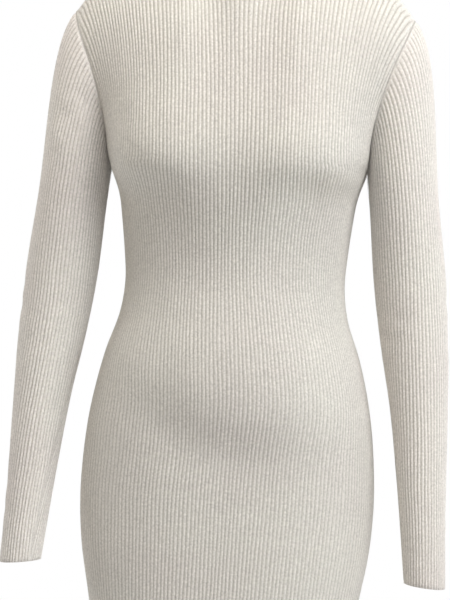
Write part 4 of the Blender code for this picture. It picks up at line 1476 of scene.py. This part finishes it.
def thread_bar(tree, spacing, width, radius):
    """One bowed bar of thread, which slants a little along the seam."""
    half = maths(tree, "MULTIPLY", width, 0.5)
    slant = maths(tree, "MULTIPLY", spacing, BAR_SLANT)
    top = maths(tree, "MULTIPLY", radius, BAR_BOW)
    start = add(tree, "ShaderNodeCombineXYZ", X=maths(tree, "MULTIPLY", half, -1.0))
    middle = add(tree, "ShaderNodeCombineXYZ", Y=maths(tree, "MULTIPLY", slant, 0.5), Z=top)
    finish = add(tree, "ShaderNodeCombineXYZ", X=half, Y=slant)
    bar = add(tree, "GeometryNodeCurveQuadraticBezier", Resolution=4)
    for key, node in (("Start", start), ("Middle", middle), ("End", finish)):
        tree.links.new(node.outputs[0], bar.inputs[key])
    circle = add(tree, "GeometryNodeCurvePrimitiveCircle", Resolution=5, Radius=radius)
    thread = add(
        tree,
        "GeometryNodeCurveToMesh",
        Curve=bar.outputs[0],
        Profile_Curve=circle.outputs[0],
        Fill_Caps=True,
    )
    return thread.outputs[0]


def stitch_tree():
    """Sets a small thread bar across the seam at each stitch."""
    tree = bpy.data.node_groups.new("link_seams", "GeometryNodeTree")
    tree_socket(tree, "Geometry", "NodeSocketGeometry")
    tree_socket(tree, "Spacing", "NodeSocketFloat", STITCH_SPACING)
    tree_socket(tree, "Width", "NodeSocketFloat", STITCH_WIDTH)
    tree_socket(tree, "Thread", "NodeSocketFloat", THREAD)
    tree_socket(tree, "Seed", "NodeSocketInt", STITCH_SEED)
    tree_socket(tree, "Yarn", "NodeSocketMaterial")
    tree_socket(tree, "Geometry", "NodeSocketGeometry", direction="OUTPUT")
    given, out = tree.nodes.new("NodeGroupInput"), tree.nodes.new("NodeGroupOutput")
    curve = add(tree, "GeometryNodeMeshToCurve", Mesh=given.outputs["Geometry"])
    spacing, line = given.outputs["Spacing"], curve.outputs[0]
    places = add(tree, "GeometryNodeResampleCurve", {"mode": "LENGTH"}, Curve=line, Length=spacing)
    thread = thread_bar(tree, spacing, given.outputs["Width"], given.outputs["Thread"])
    outward, over = (carried(tree, "FLOAT_VECTOR", name) for name in ("out", "over"))
    turned = add(
        tree,
        "FunctionNodeAxesToRotation",
        {"primary_axis": "Z", "secondary_axis": "X"},
        _0=outward,
        _1=over,
    )
    seed, (low, high) = given.outputs["Seed"], BAR_SIZES
    size = add(
        tree, "FunctionNodeRandomValue", {"data_type": "FLOAT"}, _2=low, _3=high, Seed=seed
    )
    placed = add(
        tree,
        "GeometryNodeInstanceOnPoints",
        Points=places.outputs[0],
        Instance=thread,
        Rotation=turned.outputs[0],
        Scale=size.outputs[1],
    )
    finished(tree, placed.outputs[0], given.outputs["Yarn"], out)
    return tree


STITCH_TREE = stitch_tree()
print("the stitch tree has", len(STITCH_TREE.nodes), "nodes")

# %% Thread material
THREAD_PLIES, THREAD_FIBRE = 900.0, 2500.0
THREAD_SHADE = 0.86  # how dark the yarn gets between its fibres
THREAD_ROUGH, THREAD_ROUGH_FIBRE = 0.8, 0.15


def thread_material(name):
    """Twisted yarn: the same cream, with fine slanting plies."""
    made, tree, shader = paint(name)
    spot = add(tree, "ShaderNodeTexCoord").outputs["Object"]
    plies = add(
        tree, "ShaderNodeTexWave", {"bands_direction": "DIAGONAL"}, Vector=spot, Scale=THREAD_PLIES
    )
    fibre = add(tree, "ShaderNodeTexNoise", Vector=spot, Scale=THREAD_FIBRE, Detail=2.0).outputs[0]
    dark, pale = (*(part * THREAD_SHADE for part in YARN), 1.0), (*YARN, 1.0)
    colour = add(tree, "ShaderNodeMix", {"data_type": "RGBA"}, _0=fibre, _6=dark, _7=pale)
    tree.links.new(colour.outputs[2], shader.inputs["Base Color"])
    rough = maths(tree, "ADD", THREAD_ROUGH, maths(tree, "MULTIPLY", fibre, THREAD_ROUGH_FIBRE))
    tree.links.new(rough, shader.inputs["Roughness"])
    shader.inputs["Specular IOR Level"].default_value = 0.25
    shader.inputs["Sheen Weight"].default_value = 0.2
    bump = add(tree, "ShaderNodeBump", Strength=0.5, Distance=0.0001, Height=plies.outputs["Fac"])
    tree.links.new(bump.outputs[0], shader.inputs["Normal"])
    return made


stitches = grown(seams, STITCH_TREE, {"Yarn": thread_material("linking_yarn")})
stitches.data.shade_smooth()

# %% [markdown]
# ## Everything rides on the one body
#
# Nothing on a dress moves on a joint. Each piece rides on the one body and replaces its plain
# solid.

# %% Riding and replacing: each piece with its node, its cut and the knit in it
PIECES = (
    (front, "front", (0.400, 0.930), 0.358),
    (back, "back", (0.420, 0.930), 0.355),
    (sleeve_left, "sleeve_left", (0.275, 0.640), 0.130),
    (sleeve_right, "sleeve_right", (0.275, 0.640), 0.130),
    (collar, "collar", (0.390, 0.072), 0.025),
)
for piece, node, flat, area in PIECES:
    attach(piece, "root")
    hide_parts(node)
    print(piece.name, "replaces", node)
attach(stitches, "root")

# %% [markdown]
# ## Floor and light
#
# The dress hangs at the height of the shoulders that carry it, above a plain pale floor. Large
# soft lights stand before it, the strongest ones to its left and above, so that the ribs and the
# form show. Weak ones at both sides and behind draw its outline, and the pale room fills the
# shadows. The floor glows a little for the eye only, so that it stays pale far from the lights. A
# lit backdrop would do the same, but it would throw its own light on the knit.

# %% Floor
FLOOR_Z, FLOOR_RADIUS = -1.38, 5.5
FLOOR_GLOW = 0.55


def make_floor():
    shape = bmesh.new()
    bmesh.ops.create_circle(shape, cap_ends=True, segments=96, radius=FLOOR_RADIUS)
    bmesh.ops.translate(shape, verts=shape.verts, vec=(0.0, 0.0, FLOOR_Z))
    mesh = bpy.data.meshes.new("floor")
    shape.to_mesh(mesh)
    shape.free()
    paper, tree, shader = paint("pale_floor")
    shader.inputs["Base Color"].default_value = (0.86, 0.86, 0.85, 1.0)
    shader.inputs["Roughness"].default_value = 0.9
    shader.inputs["Emission Color"].default_value = (1.0, 1.0, 1.0, 1.0)
    rays = add(tree, "ShaderNodeLightPath").outputs["Is Camera Ray"]
    glow = maths(tree, "MULTIPLY", rays, FLOOR_GLOW)
    tree.links.new(glow, shader.inputs["Emission Strength"])
    mesh.materials.append(paper)
    made = bpy.data.objects.new("floor", mesh)
    bpy.context.scene.collection.objects.link(made)
    return made


floor = make_floor()
print(floor.name, 2 * FLOOR_RADIUS, "m across")

# %% Soft lights
MIDDLE = (0.0, 0.0, -0.38)
WHITE = (1.0, 1.0, 1.0)
LIGHTS = (  # name, place, what it points at, width, watts and colour
    ("key", (2.10, -1.50, 0.72), MIDDLE, 2.0, 43.0, (1.0, 0.99, 0.98)),
    ("high", (0.90, -1.45, 1.70), MIDDLE, 2.0, 31.5, (0.98, 0.985, 1.0)),
    ("top", (0.0, -0.50, 2.27), MIDDLE, 2.0, 28.0, (1.0, 0.925, 0.82)),
    ("chest", (-0.90, -1.00, 0.64), (-0.08, 0.0, -0.13), 0.8, 5.0, (1.0, 0.88, 0.72)),
    ("low", (-1.70, -1.80, -0.75), (0.0, 0.0, -0.50), 1.6, 2.2, (1.0, 0.98, 0.96)),
    ("left", (-2.40, 0.50, 0.60), MIDDLE, 2.2, 26.0, (1.0, 0.985, 0.985)),
    ("right", (2.40, 0.50, 0.60), MIDDLE, 2.2, 15.0, WHITE),
    ("behind", (0.3, 2.4, 0.8), (0.0, 0.0, -0.40), 2.0, 45.0, WHITE),
)


def area_light(name, place, aim, size, watts, colour):
    """A round soft light that the camera doesn't see."""
    data = bpy.data.lights.new(name, "AREA")
    data.shape = "DISK"
    data.size = size
    data.energy = watts
    data.color = colour
    lamp = bpy.data.objects.new(name, data)
    lamp.location = place
    lamp.rotation_euler = (Vector(aim) - Vector(place)).to_track_quat("-Z", "Y").to_euler()
    lamp.visible_camera = False
    bpy.context.scene.collection.objects.link(lamp)


for light in LIGHTS:
    area_light(*light)
print(len(LIGHTS), "lights,", sum(light[4] for light in LIGHTS), "W in all")

# %% The room
ROOM_LIGHT, ROOM_SEEN = 0.06, 1.0


def make_room():
    """A pale room: it lights softly, and looks white where nothing stands before it."""
    world = bpy.data.worlds.new("room")
    bpy.context.scene.world = world
    world.use_nodes = True
    tree = world.node_tree
    tree.nodes.clear()
    lit, shown = (
        add(tree, "ShaderNodeBackground", Color=(*WHITE, 1.0), Strength=strength).outputs[0]
        for strength in (ROOM_LIGHT, ROOM_SEEN)
    )
    rays = add(tree, "ShaderNodeLightPath").outputs["Is Camera Ray"]
    mixed = add(tree, "ShaderNodeMixShader", _0=rays, _1=lit, _2=shown)
    add(tree, "ShaderNodeOutputWorld", _0=mixed.outputs[0])
    return world


world = make_room()
print("world:", world.name)
bpy.context.scene.view_settings.view_transform = "Standard"

# %% [markdown]
